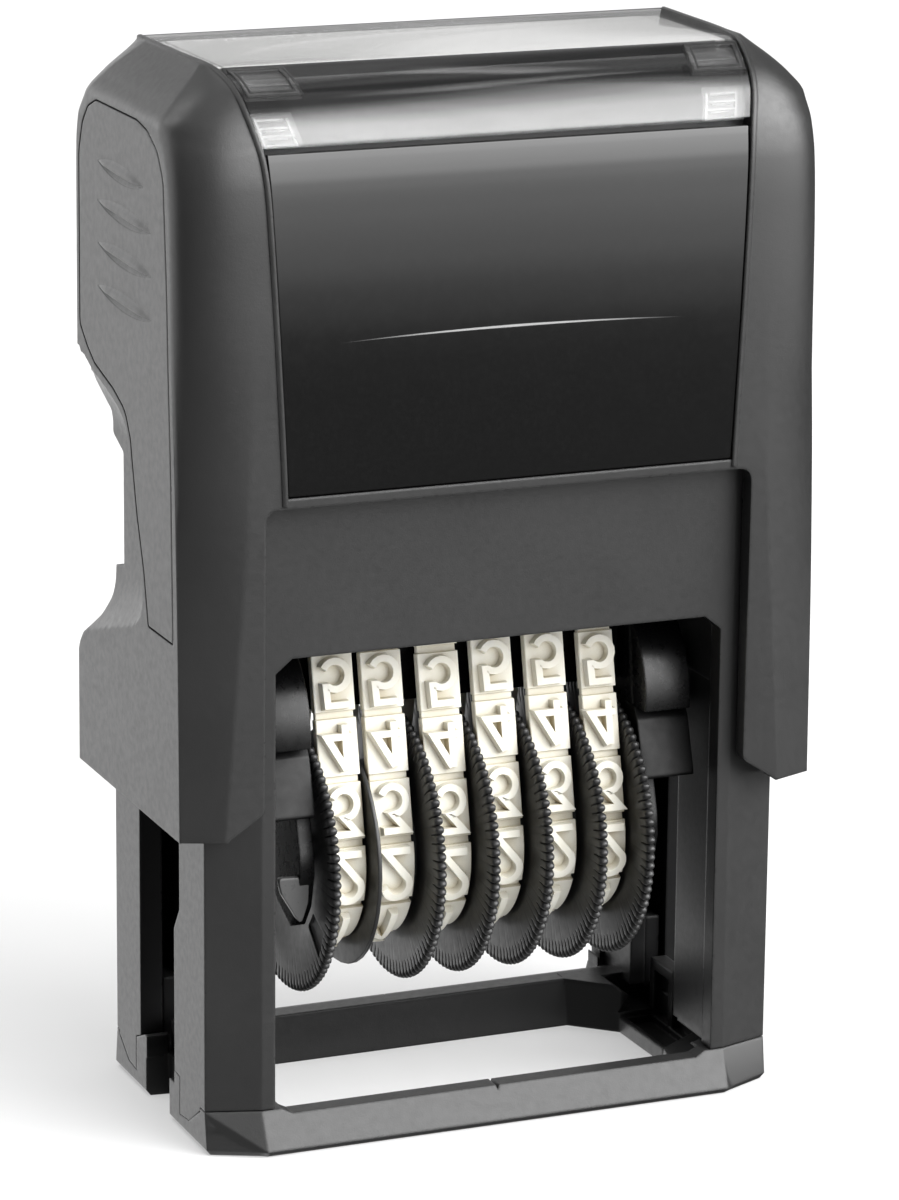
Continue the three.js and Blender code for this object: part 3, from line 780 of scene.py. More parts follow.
# z, half width of the flank, then for the front corner the flank's end in y and the
# face's end in x and y, roundness of both corners, and the same three for the rear
CAP_SECTIONS = np.array([
    [25.9, CAP_X, 11.84, 22.98, 13.18, 0.0, 11.84, 22.98, 13.18],
    [40, CAP_X, 11.6, 21.9, 13.35, 0.15, 11.7, 21.9, 13.35],
    [52, CAP_X, 11.1, 21.0, 13.45, 0.4, 11.5, 21.0, 13.45],
    [62, CAP_X, 10.4, 20.7, 13.4, 0.78, 11.4, 20.7, 13.4],
    [72, CAP_X, 9.9, 20.4, 13.1, 0.9, 11.3, 20.4, 13.15],
    [75.5, CAP_X, 9.5, 20.3, 12.85, 0.92, 11.2, 20.3, 12.9],
    [77.8, CAP_X, 8.7, 20.3, 12.38, 0.92, 10.6, 20.3, 12.9],
    [79.6, 26.28, 7.4, 20.4, 11.65, 0.88, 8.9, 20.4, 12.5],
    [81.2, 25.15, 7.0, 20.9, 10.6, 0.82, 8.1, 21.0, 11.9],
    [82.4, 23.9, 6.4, 21.3, 9.3, 0.7, 7.5, 21.5, 11.0],
    [83.3, 22.8, 5.7, 21.8, 7.4, 0.5, 6.9, 21.9, 10.0],
    [CAP_TOP, 22.15, 5.1, 21.95, 5.6, 0.3, 6.4, 21.95, 9.1],
])
CAP_STEPS = [2, 3, 3, 4, 4, 5, 6, 6, 6, 6, 5]  # loops between successive sections

# rear recess seen from the side: y, z
REAR_CUT = [
    (11.85, 34.8), (15, 34.8), (15, 57.2), (11.4, 57.2), (7.5, 55.2), (7.5, 53.3),
    (5.1, 52.3), (5.1, 43.2), (7.0, 42.9), (7.2, 40.3), (8.2, 38.6), (10.7, 36.5),
    (11.4, 35.7),
]
REAR_RADII = [0, 0, 0, 0, 0.5, 0.5, 0.4, 0.3, 0.3, 1.5, 1.5, 1, 0.4]

# ridge round the finger relief: y, z; its last edge, at the rear, is open
RIDGE = [
    (9.6, 59.0), (7.5, 58.2), (5.2, 57.7), (3.1, 57.1), (1.6, 56.6), (0.6, 56.0), (-0.1, 55.3),
    (-0.4, 54.6), (-0.8, 53.1), (-1.3, 51.2), (-1.8, 49.3), (-2.6, 47.2), (-3.3, 45.2),
    (-3.55, 43.9), (-3.6, 42.9), (-3.45, 42.1), (-3.0, 41.3), (-2.2, 40.6), (-1.2, 40.1),
    (0.8, 39.5), (4.0, 38.6), (7.5, 37.6), (10.0, 36.9), (13.0, 36.1), (13.0, 60.2),
]
SCOOP_DEPTH, SCOOP_RUN = 1.55, 4.2  # full depth, and how far from the ridge it is reached

# outline of the grip panels: y, z
GRIP_OUTLINE = [
    (6.6, 79.6), (-2.9, 79.6), (-5.2, 79.2), (-7.6, 78.0), (-8.9, 76.0), (-9.6, 67.3),
    (-9.8, 62.0), (-10.3, 53.7), (-10.6, 42.5), (-10.6, 41.0), (-4.9, 41.0), (-3.9, 45.2),
    (-2.4, 49.3), (-1.4, 53.1), (-1.0, 54.8), (0.2, 56.7), (2.9, 57.8), (7.3, 58.9),
    (9.0, 59.9), (10.8, 61.4), (10.7, 75.0), (9.8, 77.4), (8.4, 78.9),
]
GRIP_RADII = [
    1.5, 2, 2, 2.5, 3, 6, 6, 6, 0, 0.35, 0.35, 4,
    6, 3, 2, 2.5, 3, 2, 2.5, 1.2, 2.5, 2.5, 1.5,
]
GRIP_LINE = fillet(GRIP_OUTLINE, GRIP_RADII)

# label: a trapezoid, wider at its top
LABEL_LOW_X, LABEL_HIGH_X = 18.3, 19.62
LABEL_LOW_Z, LABEL_RISE = 52.3, 25.6
# front face of the label: y, z
LABEL_FACE = np.array([
    (-13.43, 51.0), (-13.42, 56.0), (-13.38, 62.0), (-13.26, 67.5),
    (-13.08, 72.0), (-12.83, 75.5), (-12.4, 77.8), (-12.2, 78.6),
])

# index window over the front rounding and the top: half width, y, z
WINDOW_LINE = np.array([
    (19.70, -12.38, 77.95), (19.93, -11.93, 78.93), (20.2, -11.41, 80.04),
    (20.42, -10.66, 81.12), (20.6, -9.75, 82.04), (20.85, -8.13, 83.0),
    (21.25, -6.26, 83.62), (21.5, -4.0, 83.82), (21.7, 0.0, 83.86), (21.8, 8.8, 83.87),
])

# bezel beside label and window: x, y, z
BEZEL_LINE = np.array([
    (18.42, -13.5, 51.75), (18.55, -13.49, 55.0), (18.9, -13.42, 62.0),
    (19.42, -13.14, 72.0), (19.62, -12.9, 75.5), (19.86, -12.45, 77.8),
    (20.1, -12.0, 78.93), (20.36, -11.48, 80.04), (20.6, -10.73, 81.12),
    (20.78, -9.82, 82.04), (21.05, -8.2, 83.02), (21.43, -6.3, 83.66),
    (21.68, -4.0, 83.84), (21.88, 0.0, 83.86), (21.98, 8.7, 83.87),
])
# section of the bezel: distance outwards along X, height above the face
BEZEL_SECTION = ((-0.17, -0.5), (-0.17, 0.05), (-0.08, 0.14), (0.1, 0.14), (0.26, 0.04), (0.3, -0.5))


# ------------------------------------------------------------------- cap housing
def cap_corner(xs, ys, xf, yf, roundness, steps=12):
    """Curve from the flank's end to the face's end; more roundness fills the corner."""
    cx = (xs + xf) / 2 + roundness * (xs - xf) / 2
    cy = (ys + yf) / 2 + roundness * (yf - ys) / 2
    out = []
    for i in range(steps + 1):
        q = i / steps
        u = 1 - q
        out.append((
            u * u * xs + 2 * u * q * cx + q * q * xf,
            u * u * ys + 2 * u * q * cy + q * q * yf,
        ))
    return out


def cap_body():
    # knots run with the height low down and with the way round the shoulder above
    knots = [0.0]
    for a, b in zip(CAP_SECTIONS[:-1], CAP_SECTIONS[1:]):
        rise = math.hypot(b[0] - a[0], b[1] - a[1])
        knots.append(knots[-1] + math.hypot(rise, 0.7 * (b[4] - a[4])))
    knots = np.array(knots)
    at = [0.0]
    for a, b, steps in zip(knots[:-1], knots[1:], CAP_STEPS):
        at += [a + (b - a) * (j + 1) / steps for j in range(steps)]
    loops = []
    for z, xs, ys_f, xf, yf, roundness, ys_r, xr, yr in smooth_table(knots, CAP_SECTIONS, at):
        front = [(x, -y) for x, y in cap_corner(xs, ys_f, xf, yf, roundness)]
        rear = cap_corner(xs, ys_r, xr, yr, roundness)
        loops.append([(x, y, z) for x, y in mirrored(front[::-1] + rear)])
    return loft(loops)


def cavity(x1, y1, x2, y2, z0, z1):
    """An eight-cornered hollow: flanks at x1, end walls at y2."""
    outline = [
        (x1, -y1), (x1, y1), (x2, y2), (-x2, y2),
        (-x1, y1), (-x1, -y1), (-x2, -y2), (x2, -y2),
    ]
    return prism(fillet(outline, 0.6, 4), z0, z1, "z")


def wing_opening(top, top_radius, y0, y1):
    """Opening between the wings, its corners rounded, its lower ends splayed."""
    half = [(23.3, 24.2), (22.95, 25.95), (WING_X, 27.9), (WING_X, top)]
    radii = [0, 0.7, 0.9, top_radius]
    return prism(fillet(mirrored(half), radii + radii[::-1], 6), y0, y1, "y")


def is_inside(y, z, outline):
    inside, j = False, len(outline) - 1
    for i in range(len(outline)):
        (yi, zi), (yj, zj) = outline[i], outline[j]
        if (zi > z) != (zj > z) and y < (yj - yi) * (z - zi) / (zj - zi) + yi:
            inside = not inside
        j = i
    return inside


def line_distance(p, line):
    best = 1e9
    for start, end in zip(line[:-1], line[1:]):
        a, b = np.array(start), np.array(end)
        t = max(0, min(1, ((p - a) @ (b - a)) / ((b - a) @ (b - a))))
        best = min(best, float(np.linalg.norm(p - (a + t * (b - a)))))
    return best


def finger_scoop():
    """Cutter for the right finger relief, which deepens behind its front ridge."""
    ys = np.arange(-4.6, 13.01, 0.4)
    zs = np.arange(35.4, 60.6, 0.4)
    ny, nz = len(ys), len(zs)
    vertices = []
    for y in ys:
        for z in zs:
            distance = line_distance(np.array((y, z)), RIDGE[:-1])
            if is_inside(y, z, RIDGE):
                k = min(1.0, distance / SCOOP_RUN)
                depth = SCOOP_DEPTH * math.sin(k * math.pi / 2) ** 0.85
            else:
                depth = -min(0.6, 0.45 * distance)
            vertices.append((CAP_X - depth, y, z))
    faces = []
    for i in range(ny - 1):
        for j in range(nz - 1):
            a, b = i * nz + j, (i + 1) * nz + j
            faces.append([a, b, b + 1, a + 1])
    # close the cutter with a far wall
    rim = (
        [(i, 0) for i in range(ny)]
        + [(ny - 1, j) for j in range(1, nz)]
        + [(i, nz - 1) for i in range(ny - 2, -1, -1)]
        + [(0, j) for j in range(nz - 2, 0, -1)]
    )
    vertices += [(30.0, ys[i], zs[j]) for i, j in rim]
    near = [i * nz + j for i, j in rim]
    far = [ny * nz + k for k in range(len(rim))]
    for k in range(len(rim)):
        after = (k + 1) % len(rim)
        faces.append([near[k], near[after], far[after], far[k]])
    faces.append(far)
    return mesh_object(vertices, faces)


def label_plate(margin, front, back, z0, z1, steps=26):
    """A curved plate with the label's outline drawn in by margin; offsets in y."""
    loops = []
    for i in range(steps + 1):
        z = z0 + (z1 - z0) * i / steps
        widening = (LABEL_HIGH_X - LABEL_LOW_X) * (z - LABEL_LOW_Z) / LABEL_RISE
        w = LABEL_LOW_X + widening - margin
        face = float(smooth_curve(LABEL_FACE[:, 1], LABEL_FACE[:, 0], [z])[0])
        yf, yb = face + front, face + back
        loops.append([(-w, yf, z), (w, yf, z), (w, yb, z), (-w, yb, z)])
    return loft(loops)


def window_path(steps=7):
    """Stations along the window's outer face, and their normals in y, z."""
    knots = np.concatenate([[0], np.cumsum(np.hypot(*np.diff(WINDOW_LINE[:, 1:], axis=0).T))])
    at = []
    for a, b in zip(knots[:-1], knots[1:]):
        at += [a + (b - a) * j / steps for j in range(steps)]
    at.append(knots[-1])
    points = smooth_table(knots, WINDOW_LINE, at)
    tangents = np.gradient(points[:, 1:], axis=0)
    tangents /= np.linalg.norm(tangents, axis=1)[:, None]
    return points, np.stack([-tangents[:, 1], tangents[:, 0]], axis=1)


WINDOW_POINTS, WINDOW_NORMALS = window_path()


def window_seat(inner=1.5, outer=3.0, rear=0.15):
    """Cutter that follows the window's face, run on a little at the rear."""
    points = WINDOW_POINTS.copy()
    points[-1, 1] += rear
    loops = []
    for (w, y, z), (ny, nz) in zip(points, WINDOW_NORMALS):
        a = (y - ny * inner, z - nz * inner)
        b = (y + ny * outer, z + nz * outer)
        loops.append([(-w, *a), (w, *a), (w, *b), (-w, *b)])
    return loft(loops)


def bezel(side):
    """A thin raised edge beside label and window."""
    steps = np.linalg.norm(np.diff(BEZEL_LINE, axis=0), axis=1)
    knots = np.concatenate([[0], np.cumsum(steps)])
    points = smooth_table(knots, BEZEL_LINE, np.linspace(0, knots[-1], 90))
    tangents = np.gradient(points, axis=0)
    tangents /= np.linalg.norm(tangents, axis=1)[:, None]
    loops = []
    for point, tangent in zip(points, tangents):
        across = np.array((1.0, 0, 0))
        across = across - tangent * (across @ tangent)
        across /= np.linalg.norm(across)
        up = np.cross(across, tangent)
        if up @ (point - np.array((0.0, 6.0, 60.0))) < 0:
            up = -up
        loop = [point + across * out + up * height for out, height in BEZEL_SECTION]
        loops.append([(side * q[0], q[1], q[2]) for q in loop])
    return loft(loops)


def build_cap():
    cap = cap_body()
    cut(
        cap,
        cavity(24.05, 10.6, 19.9, 11.95, 20, 66.2),
        cavity(21.8, 11.15, 19.9, 11.9, 66, 75.3),
        box(-20.6, 20.6, -7.6, 7.6, 75, 80.4),
    )
    cut(
        cap,
        wing_opening(top=STRIP_Z, top_radius=1.1, y0=-16, y1=-9),
        wing_opening(top=57.2, top_radius=1.4, y0=9, y1=16),
    )
    cut(cap, prism(fillet(REAR_CUT, REAR_RADII, 4), -30, 30, "x"))
    # finger reliefs and grip seats
    for cutter in (finger_scoop, lambda: prism(GRIP_LINE, CAP_X - 0.9, CAP_X + 1, "x")):
        right = cutter()
        cut(cap, mirror_copy(right), right)
    cut(cap, label_plate(margin=0.0, front=-3.0, back=0.55, z0=LABEL_LOW_Z, z1=78.15))
    cut(cap, window_seat())
    # slot between label and window
    cut(cap, box(-19.6, 19.6, -14.5, -11.0, 78.2, 78.62))
    # raised table that carries the index card
    add(cap, box(-20.2, 20.2, -4.6, 8.6, 82.0, 83.12))
    add(cap, bezel(1), bezel(-1))
    # lip along the table's front edge
    add(cap, box(-20.2, 20.2, -4.73, -4.53, 82.2, 83.36))
    join_flats(cap, weld=0.004, angle=0.25)
    shade(cap, crease=42, even=True)
    finish(cap, "cap_housing_moulding", "cap", HOUSING, "cap_housing")


build_cap()

# ------------------------------------------------------------------------- grips
# finger ridges: middle y, middle z, half length
FINGER_RIDGES = [(0.8, 74.85, 5.25), (0.0, 71.75, 6.15), (0.0, 68.45, 6.15), (0.1, 65.1, 6.15)]
RIDGE_TILT = 0.03


def ridge_height(v):
    """Height over the ridge, v from -1 at the lower edge to 1 at the upper one."""
    if v > -0.05:
        q = (v + 0.05) / 1.05
        return 0.28 * (1 - q * q * (3 - 2 * q))
    if v > -0.42:
        q = (-0.05 - v) / 0.37
        return 0.28 - 0.42 * q * q * (3 - 2 * q)
    q = (-0.42 - v) / 0.58
    return -0.14 + 0.14 * q * q * (3 - 2 * q)


def finger_ridge(y0, z0, half_length, half_width, base, top=None, steps=44):
    """Swells from its upper edge, drops, and dishes out below; top makes it flat."""
    loops = []
    for i in range(steps + 1):
        u = -1 + 2 * i / steps
        w = half_width * max(0.02, (1 - u * u)) ** 0.85
        swell = min(1.0, 1.6 * (1 - u * u))
        y, z = y0 + half_length * u, z0 + RIDGE_TILT * half_length * u
        loop = []
        for j in range(16):
            v = 1 - 2 * j / 15
            height = ridge_height(v) * swell if top is None else top
            loop.append((CAP_X + height, y, z + w * v))
        loop.append((CAP_X + base, y, z - w))
        loop.append((CAP_X + base, y, z + w))
        loops.append(loop)
    return loft(loops)


def build_grips():
    right = prism(inset(GRIP_LINE, 0.11), CAP_X - 0.8, CAP_X + 0.02, "x")
    join_flats(right, weld=0.02, angle=0.3)
    add_bevel(right, width=0.14, angle=40)
    apply_modifiers(right)
    for ridge in FINGER_RIDGES:
        cut(right, finger_ridge(*ridge, half_width=0.77, base=-0.28, top=1.0))
    for ridge in FINGER_RIDGES:
        add(right, finger_ridge(*ridge, half_width=0.78, base=-0.4))
    shade(right, crease=24, even=True)
    left = mirror_copy(right)
    shade(left, crease=24, even=True)
    for ob, side in ((right, "right"), (left, "left")):
        finish(ob, f"grip_{side}_panel", "cap", GRIP, f"grip_{side}")


build_grips()


# -------------------------------------------------------------- label and window
def build_label():
    label = label_plate(margin=0.1, front=0.0, back=0.5, z0=52.4, z1=78.08, steps=40)
    join_flats(label, weld=0.002, angle=0.05)
    ease_edges(label, width=0.12, angle=50, crease=40, even=True)
    finish(label, "front_label_plate", "cap", LABEL, "front_label")


WINDOW_START = 5  # stations of the path left off at the lower edge
WINDOW_THICK, WINDOW_THIN = 0.95, 0.4
THIN_FROM_Y = -4.9


def window_section(station, thickness, shift=0.0):
    (w, y, z), (ny, nz) = WINDOW_POINTS[station], WINDOW_NORMALS[station]
    w, y = w - 0.12, y + shift
    inner = (y - ny * thickness, z - nz * thickness)
    return [(-w, *inner), (w, *inner), (w, y, z), (-w, y, z)]


def build_window():
    """Thick over the front rounding, thin over the card."""
    loops, thickness = [], WINDOW_THICK
    for station in range(WINDOW_START, len(WINDOW_POINTS)):
        loops.append(window_section(station, thickness))
        if thickness == WINDOW_THICK and WINDOW_POINTS[station][1] > THIN_FROM_Y:
            thickness = WINDOW_THIN
            loops.append(window_section(station, thickness, shift=0.02))
    window = loft(loops)
    ease_edges(window, width=0.1, angle=50, crease=35)
    finish(window, "index_window_cover", "window", CLEAR, "index_window")


def on_window(place):
    """Station and normal at a fractional place along the window's path."""
    place = max(0.0, min(len(WINDOW_POINTS) - 1.001, place))
    i = int(place)
    f = place - i
    point = WINDOW_POINTS[i] * (1 - f) + WINDOW_POINTS[i + 1] * f
    normal = WINDOW_NORMALS[i] * (1 - f) + WINDOW_NORMALS[i + 1] * f
    return point, normal / np.linalg.norm(normal)


def window_bar(side, z, edge, height, steps):
    """A slab that follows the rounding between two z.

    edge is how far its two ends lie in from the window's edge, the far one first;
    height is its bottom and top above the window's face.
    """
    loops = []
    for i in range(steps + 1):
        level = z[0] + (z[1] - z[0]) * i / steps
        point, normal = on_window(float(np.interp(level, WINDOW_POINTS[:40, 2], np.arange(40))))
        x0, x1 = side * (point[0] - edge[0]), side * (point[0] - edge[1])
        low, high = ((point[1] + normal[0] * h, point[2] + normal[1] * h) for h in height)
        loops.append([(x0, *low), (x1, *low), (x1, *high), (x0, *high)])
    return loft(loops)


def joined_bars(side, bars):
    """Slabs joined into one; each has z, edge, height and steps."""
    ob, *others = [window_bar(side, *bar) for bar in bars]
    add(ob, *others)
    return ob


def ribbed_block(side):
    """Block behind the window's lower corner."""
    return window_bar(side, z=(78.72, 81.35), edge=(3.75, 0.35), height=(-1.12, -0.97), steps=12)


def block_ribs(side):
    """The ribs that stand on that block."""
    height = (-1.46, -1.15)
    bars = [((78.86, 79.0), (3.35, 0.75), height, 3)]
    for k in range(1, 4):
        z = 78.86 + 0.66 * k
        bars.append(((z, z + 0.15), (3.35 - 0.1 * k, 0.75), height, 3))
    bars += [
        # one up each side
        ((78.8, 81.1), (0.92, 0.75), height, 8),
        ((78.8, 81.0), (3.4, 3.22), (-1.4, -1.15), 8),
        # two thin ones across
        ((79.35, 79.42), (2.9, 1.3), (-1.46, -1.2), 3),
        ((80.0, 80.07), (2.8, 1.3), (-1.46, -1.2), 3),
    ]
    return joined_bars(side, bars)


def clip_rims(side):
    """Raised edges of the clip, tinted dark as painted shade along the clip's outline."""
    bars = [((81.82, 81.93), (4.75, 0.33), (0.12, 0.27), 4)]
    for z, edge in (
        ((83.36, 83.44), (4.75, 0.33)),
        ((81.82, 83.44), (4.75, 4.6)),
        ((81.82, 83.44), (0.45, 0.33)),
        ((82.08, 82.15), (4.3, 0.7)),
        ((82.08, 83.3), (4.3, 4.2)),
        ((82.08, 83.3), (0.8, 0.7)),
    ):
        bars.append((z, edge, (0.1, 0.25), 6))
    return joined_bars(side, bars)


def clip_loop(side):
    """Rectangular clip over the rounding, with a sunk field and a bar across it."""
    clip = window_bar(side, z=(81.85, 83.42), edge=(4.7, 0.35), height=(-0.3, 0.2), steps=14)
    cut(clip, window_bar(side, z=(82.12, 83.28), edge=(4.2, 0.75), height=(0.02, 0.6), steps=10))
    add(clip, window_bar(side, z=(82.5, 82.62), edge=(4.2, 0.75), height=(-0.2, 0.12), steps=3))
    return clip


# maker, name, material, bevel width and segments
WINDOW_FITTINGS = (
    (block_ribs, "rib_bars", RIB_BARS, 0.03, 1),
    (clip_rims, "clip_rims", SHADED_RIMS, 0.03, 1),
    (ribbed_block, "ribs", MILKY, 0.05, 2),
    (clip_loop, "clip", CLEAR_CLIP, 0.07, 2),
)

build_label()
build_window()
for side, side_name in SIDES:
    for maker, name, material, width, segments in WINDOW_FITTINGS:
        fitting = maker(side)
        ease_edges(fitting, width=width, segments=segments)
        finish(fitting, f"index_window_{name}_{side_name}", "window", material)

# white strips beside the card, a painted reflection of the bright sheen along the window's sides
for side, side_name in SIDES:
    strip = box(*sorted((side * 20.12, side * 21.25)), -4.3, 8.4, 83.2, 83.36)
    ease_edges(strip, width=0.05)
    finish(strip, "window_side_painted_sheen_" + side_name, "cap", CARD)

# --------------------------------------------------------- shields of the print unit
# plate low at the front of the carrier: y, z
SHIELD_OUTLINE = [(-8.0, 25.3), (-6.6, 29.9), (-5.9, 30.9), (-4.2, 30.9), (-5.9, 25.3)]
# heel under the left shield, light grey as a painted highlight: x, z
HEEL_OUTLINE = [(-16.9, 20.75), (-14.35, 20.6), (-14.4, 18.6), (-15.0, 16.7), (-16.6, 19.4)]

# plates in the darker plastic, as painted shade
for side, side_name in SIDES:
    shield = side_prism(fillet(SHIELD_OUTLINE, [0.3, 0.5, 0.3, 0, 0], 3), 13.87, 18.3, side)
    ease_edges(shield, width=0.1, crease=40, even=True)
    finish(shield, "carrier_shield_" + side_name, "print_unit", SHADED_SHIELD)

# painted highlight on the left carrier tip
heel = prism(fillet(HEEL_OUTLINE, [0.3, 0.3, 0.6, 0.3, 0.8], 3), -7.9, -7.3, "y")
ease_edges(heel, width=0.12, crease=40, even=True)
finish(heel, "carrier_heel_left", "print_unit", HEEL_HIGHLIGHT)

# ------------------------------------------------------------------------ wheels
WHEEL_Z, DRUM_R, AXLE_R = 20.3, 6.5, 1.2
BORE_R = AXLE_R + 0.06
BEADS, BEAD_STEPS = 96, 8
# x range of the disc, of the drum and of the band; z of the band's joint between 4 and 3
WHEELS = [
    ((-13.55, -12.85), (-12.9, -9.3), (-12.75, -9.35), 27.59),
    ((-4.8, -4.1), (-8.75, -4.75), (-8.7, -5.3), 27.45),
    ((-0.25, 0.45), (-4.0, -0.2), (-3.95, -0.5), 26.9),
    ((4.3, 5.0), (0.55, 4.35), (0.6, 4.0), 27.72),
    ((8.9, 9.6), (5.1, 8.95), (5.15, 8.5), 27.74),
    ((12.95, 13.65), (9.7, 13.0), (9.75, 12.75), 27.3),
]
PLAIN, SERRATED, KNURLED = range(3)
# disc face from the hub outwards: radius, surface
DISC_FACE = [
    (7.3, PLAIN), (9.75, PLAIN), (10.1, SERRATED), (10.6, SERRATED), (10.95, KNURLED),
]
# slanted field sunk into the outermost disc: y, z
SUNK_FIELD = [(-6.73, 17.17), (-9.02, 16.17), (-7.93, 13.89), (-5.57, 15.84)]


def wheel_profile(disc, drum):
    """Closed section of disc and hub: x, radius, surface."""
    if drum[0] < disc[0]:
        way, free, joined, end = -1, disc[1], disc[0], drum[0]
    else:
        way, free, joined, end = 1, disc[0], disc[1], drum[1]
    return (
        [(free, BORE_R, PLAIN), (free, 2.2, PLAIN)]
        + [(free + 0.12 * way, 2.3, PLAIN), (free + 0.12 * way, 6.9, PLAIN)]
        + [(free, r, surface) for r, surface in DISC_FACE]
        + [(free + 0.1 * way, 11.12, KNURLED), ((disc[0] + disc[1]) / 2, 11.2, KNURLED)]
        + [(joined - 0.1 * way, 11.12, KNURLED)]
        + [(joined, r, surface) for r, surface in DISC_FACE[::-1]]
        + [(joined, DRUM_R, PLAIN), (end - 0.15 * way, DRUM_R, PLAIN)]
        + [(end, DRUM_R - 0.15, PLAIN), (end, BORE_R, PLAIN)]
    )


def bead_height(i):
    """Half-round rise over each bead, 0 in the grooves."""
    q = (i % BEAD_STEPS) / BEAD_STEPS
    return math.sqrt(max(0.0, 1 - (2 * q - 1) ** 2)) if q else 0.0


def setting_wheel(disc, drum, phase):
    """Knurled disc with a hub, turned as one profile with beads round the rim."""
    middle = (disc[0] + disc[1]) / 2
    n = BEADS * BEAD_STEPS
    loops = []
    for x, r, surface in wheel_profile(disc, drum):
        loop = []
        for i in range(n):
            angle = 2 * math.pi * (i + phase) / n
            bead = bead_height(i)
            rr, xx = r, x
            if surface == KNURLED:
                rr = r - 0.4 * (1 - bead) ** 0.8
                xx = x + (middle - x) * 0.6 * (1 - bead)
            if surface == SERRATED:
                # every cut ends at its own length, as a hob leaves it
                length = 0.5 + 0.5 * math.sin(2.3 * (i // BEAD_STEPS) + phase)
                near = 1.0 if r > 10.3 else 0.35 + 0.65 * length
                xx = x + (middle - x) * 0.55 * near * max(0.0, 1 - 1.7 * bead)
            loop.append((xx, rr * math.cos(angle), WHEEL_Z + rr * math.sin(angle)))
        loops.append(loop)
    return loft(loops, closed=True)


for i, (disc, drum, _, _) in enumerate(WHEELS):
    wheel = setting_wheel(disc, drum, phase=1.7 * i)
    if i == 0:
        cut(wheel, prism(SUNK_FIELD, -13.7, -13.38, "x"))
    shade(wheel, crease=38)
    finish(
        wheel, f"setting_wheel_{i + 1}_knurled", f"wheel_{i + 1}", WHEEL,
        f"setting_wheel_{i + 1}",
    )

# ---------------------------------------------------------------- path of the bands
# Each band runs over two top corners at y = -+CORNER_Y and under the drum.
CORNER_Y, CORNER_Z, CORNER_R = 1.45, 40.1, 1.0
UNDER_R = DRUM_R + 0.12
NEUTRAL = 0.5  # height in the band at which its length is measured
CENTRES = np.array((-CORNER_Y, CORNER_Z - WHEEL_Z))  # from drum to front corner
FRONT_ANGLE = math.atan2(CENTRES[1], CENTRES[0]) + math.acos(
    (UNDER_R - CORNER_R) / np.linalg.norm(CENTRES)
)  # direction the front run faces
FRONT_COS, FRONT_SIN = math.cos(FRONT_ANGLE), math.sin(FRONT_ANGLE)
# ways from the top middle to the end of the flat, of the corner and of the front run
CORNER_END = CORNER_Y + (CORNER_R + NEUTRAL) * (FRONT_ANGLE - math.pi / 2)
RUN_END = CORNER_END + math.sqrt(CENTRES @ CENTRES - (UNDER_R - CORNER_R) ** 2)
LOOP = 2 * RUN_END + (UNDER_R + NEUTRAL) * (3 * math.pi - 2 * FRONT_ANGLE)
PLATES = 14
PITCH = LOOP / PLATES


def band_point(way, height):
    """Point y, z at a way round the loop; the way runs down the front."""
    way = way % LOOP
    back = way > LOOP / 2
    if back:
        way = LOOP - way
    r = CORNER_R + height
    if way <= CORNER_Y:
        y, z = -way, CORNER_Z + CORNER_R + height
    elif way <= CORNER_END:
        angle = math.pi / 2 + (way - CORNER_Y) / (CORNER_R + NEUTRAL)
        y, z = -CORNER_Y + r * math.cos(angle), CORNER_Z + r * math.sin(angle)
    elif way <= RUN_END:
        q = way - CORNER_END
        y = -CORNER_Y + r * FRONT_COS - FRONT_SIN * q
        z = CORNER_Z + r * FRONT_SIN + FRONT_COS * q
    else:
        angle = FRONT_ANGLE + (way - RUN_END) / (UNDER_R + NEUTRAL)
        r = UNDER_R + height
        y, z = r * math.cos(angle), WHEEL_Z + r * math.sin(angle)
    return (-y if back else y), z


def way_at(z, height):
    """Way down the front run where the surface at a height has this z."""
    return CORNER_END + (z - CORNER_Z - (CORNER_R + height) * FRONT_SIN) / FRONT_COS


# ---------------------------------------------------------------------- numerals
def arc(cx, cy, rx, ry, start, end, steps=14):
    """Points of an elliptic arc; angles in degrees."""
    angles = [math.radians(start + (end - start) * i / steps) for i in range(steps + 1)]
    return [(cx + rx * math.cos(a), cy + ry * math.sin(a)) for a in angles]


# strokes of each numeral in a 2.4 x 4 field, centre at the origin
NUMERALS = {
    "0": [arc(0, 0.9, 0.95, 0.85, 0, 180) + arc(0, -0.9, 0.95, 0.85, 180, 360) + [(0.95, 0.9)]],
    "1": [[(-0.75, 0.75), (0.15, 1.72), (0.15, -1.75)]],
    "2": [arc(0, 0.78, 0.95, 0.97, 165, -25) + [(-0.9, -1.72), (1.0, -1.72)]],
    "3": [[(-0.9, 1.72), (0.85, 1.72), (-0.1, 0.45)] + arc(-0.05, -0.65, 0.98, 1.08, 88, -150)],
    "4": [[(0.34, 1.72), (-0.98, -0.82), (0.95, -0.82)], [(0.42, 1.74), (0.42, -1.75)]],
    "5": [[(0.9, 1.72), (-0.72, 1.72), (-0.78, 0.25)] + arc(-0.02, -0.62, 0.98, 1.1, 128, -150)],
    "6": [[(0.75, 1.6)] + arc(0.15, 0.75, 1.05, 1.0, 95, 180) + arc(0, -0.72, 0.95, 1.0, 180, 540)],
    "7": [[(-0.95, 1.72), (0.95, 1.72), (-0.2, -1.75)]],
    "8": [arc(0, 0.88, 0.8, 0.84, -90, 270), arc(0, -0.86, 0.95, 0.88, 90, 450)],
    "9": [arc(0, 0.72, 0.95, 1.0, 0, 360) + arc(-0.15, -0.75, 1.1, 1.0, 0, -85) + [(-0.75, -1.6)]],
    "-": [[(-0.8, 0), (0.8, 0)]],
}
# section of a stroke: width, height
STROKE_LOW, STROKE_TOP = (0.74, 0.72), (0.52, 1.4)


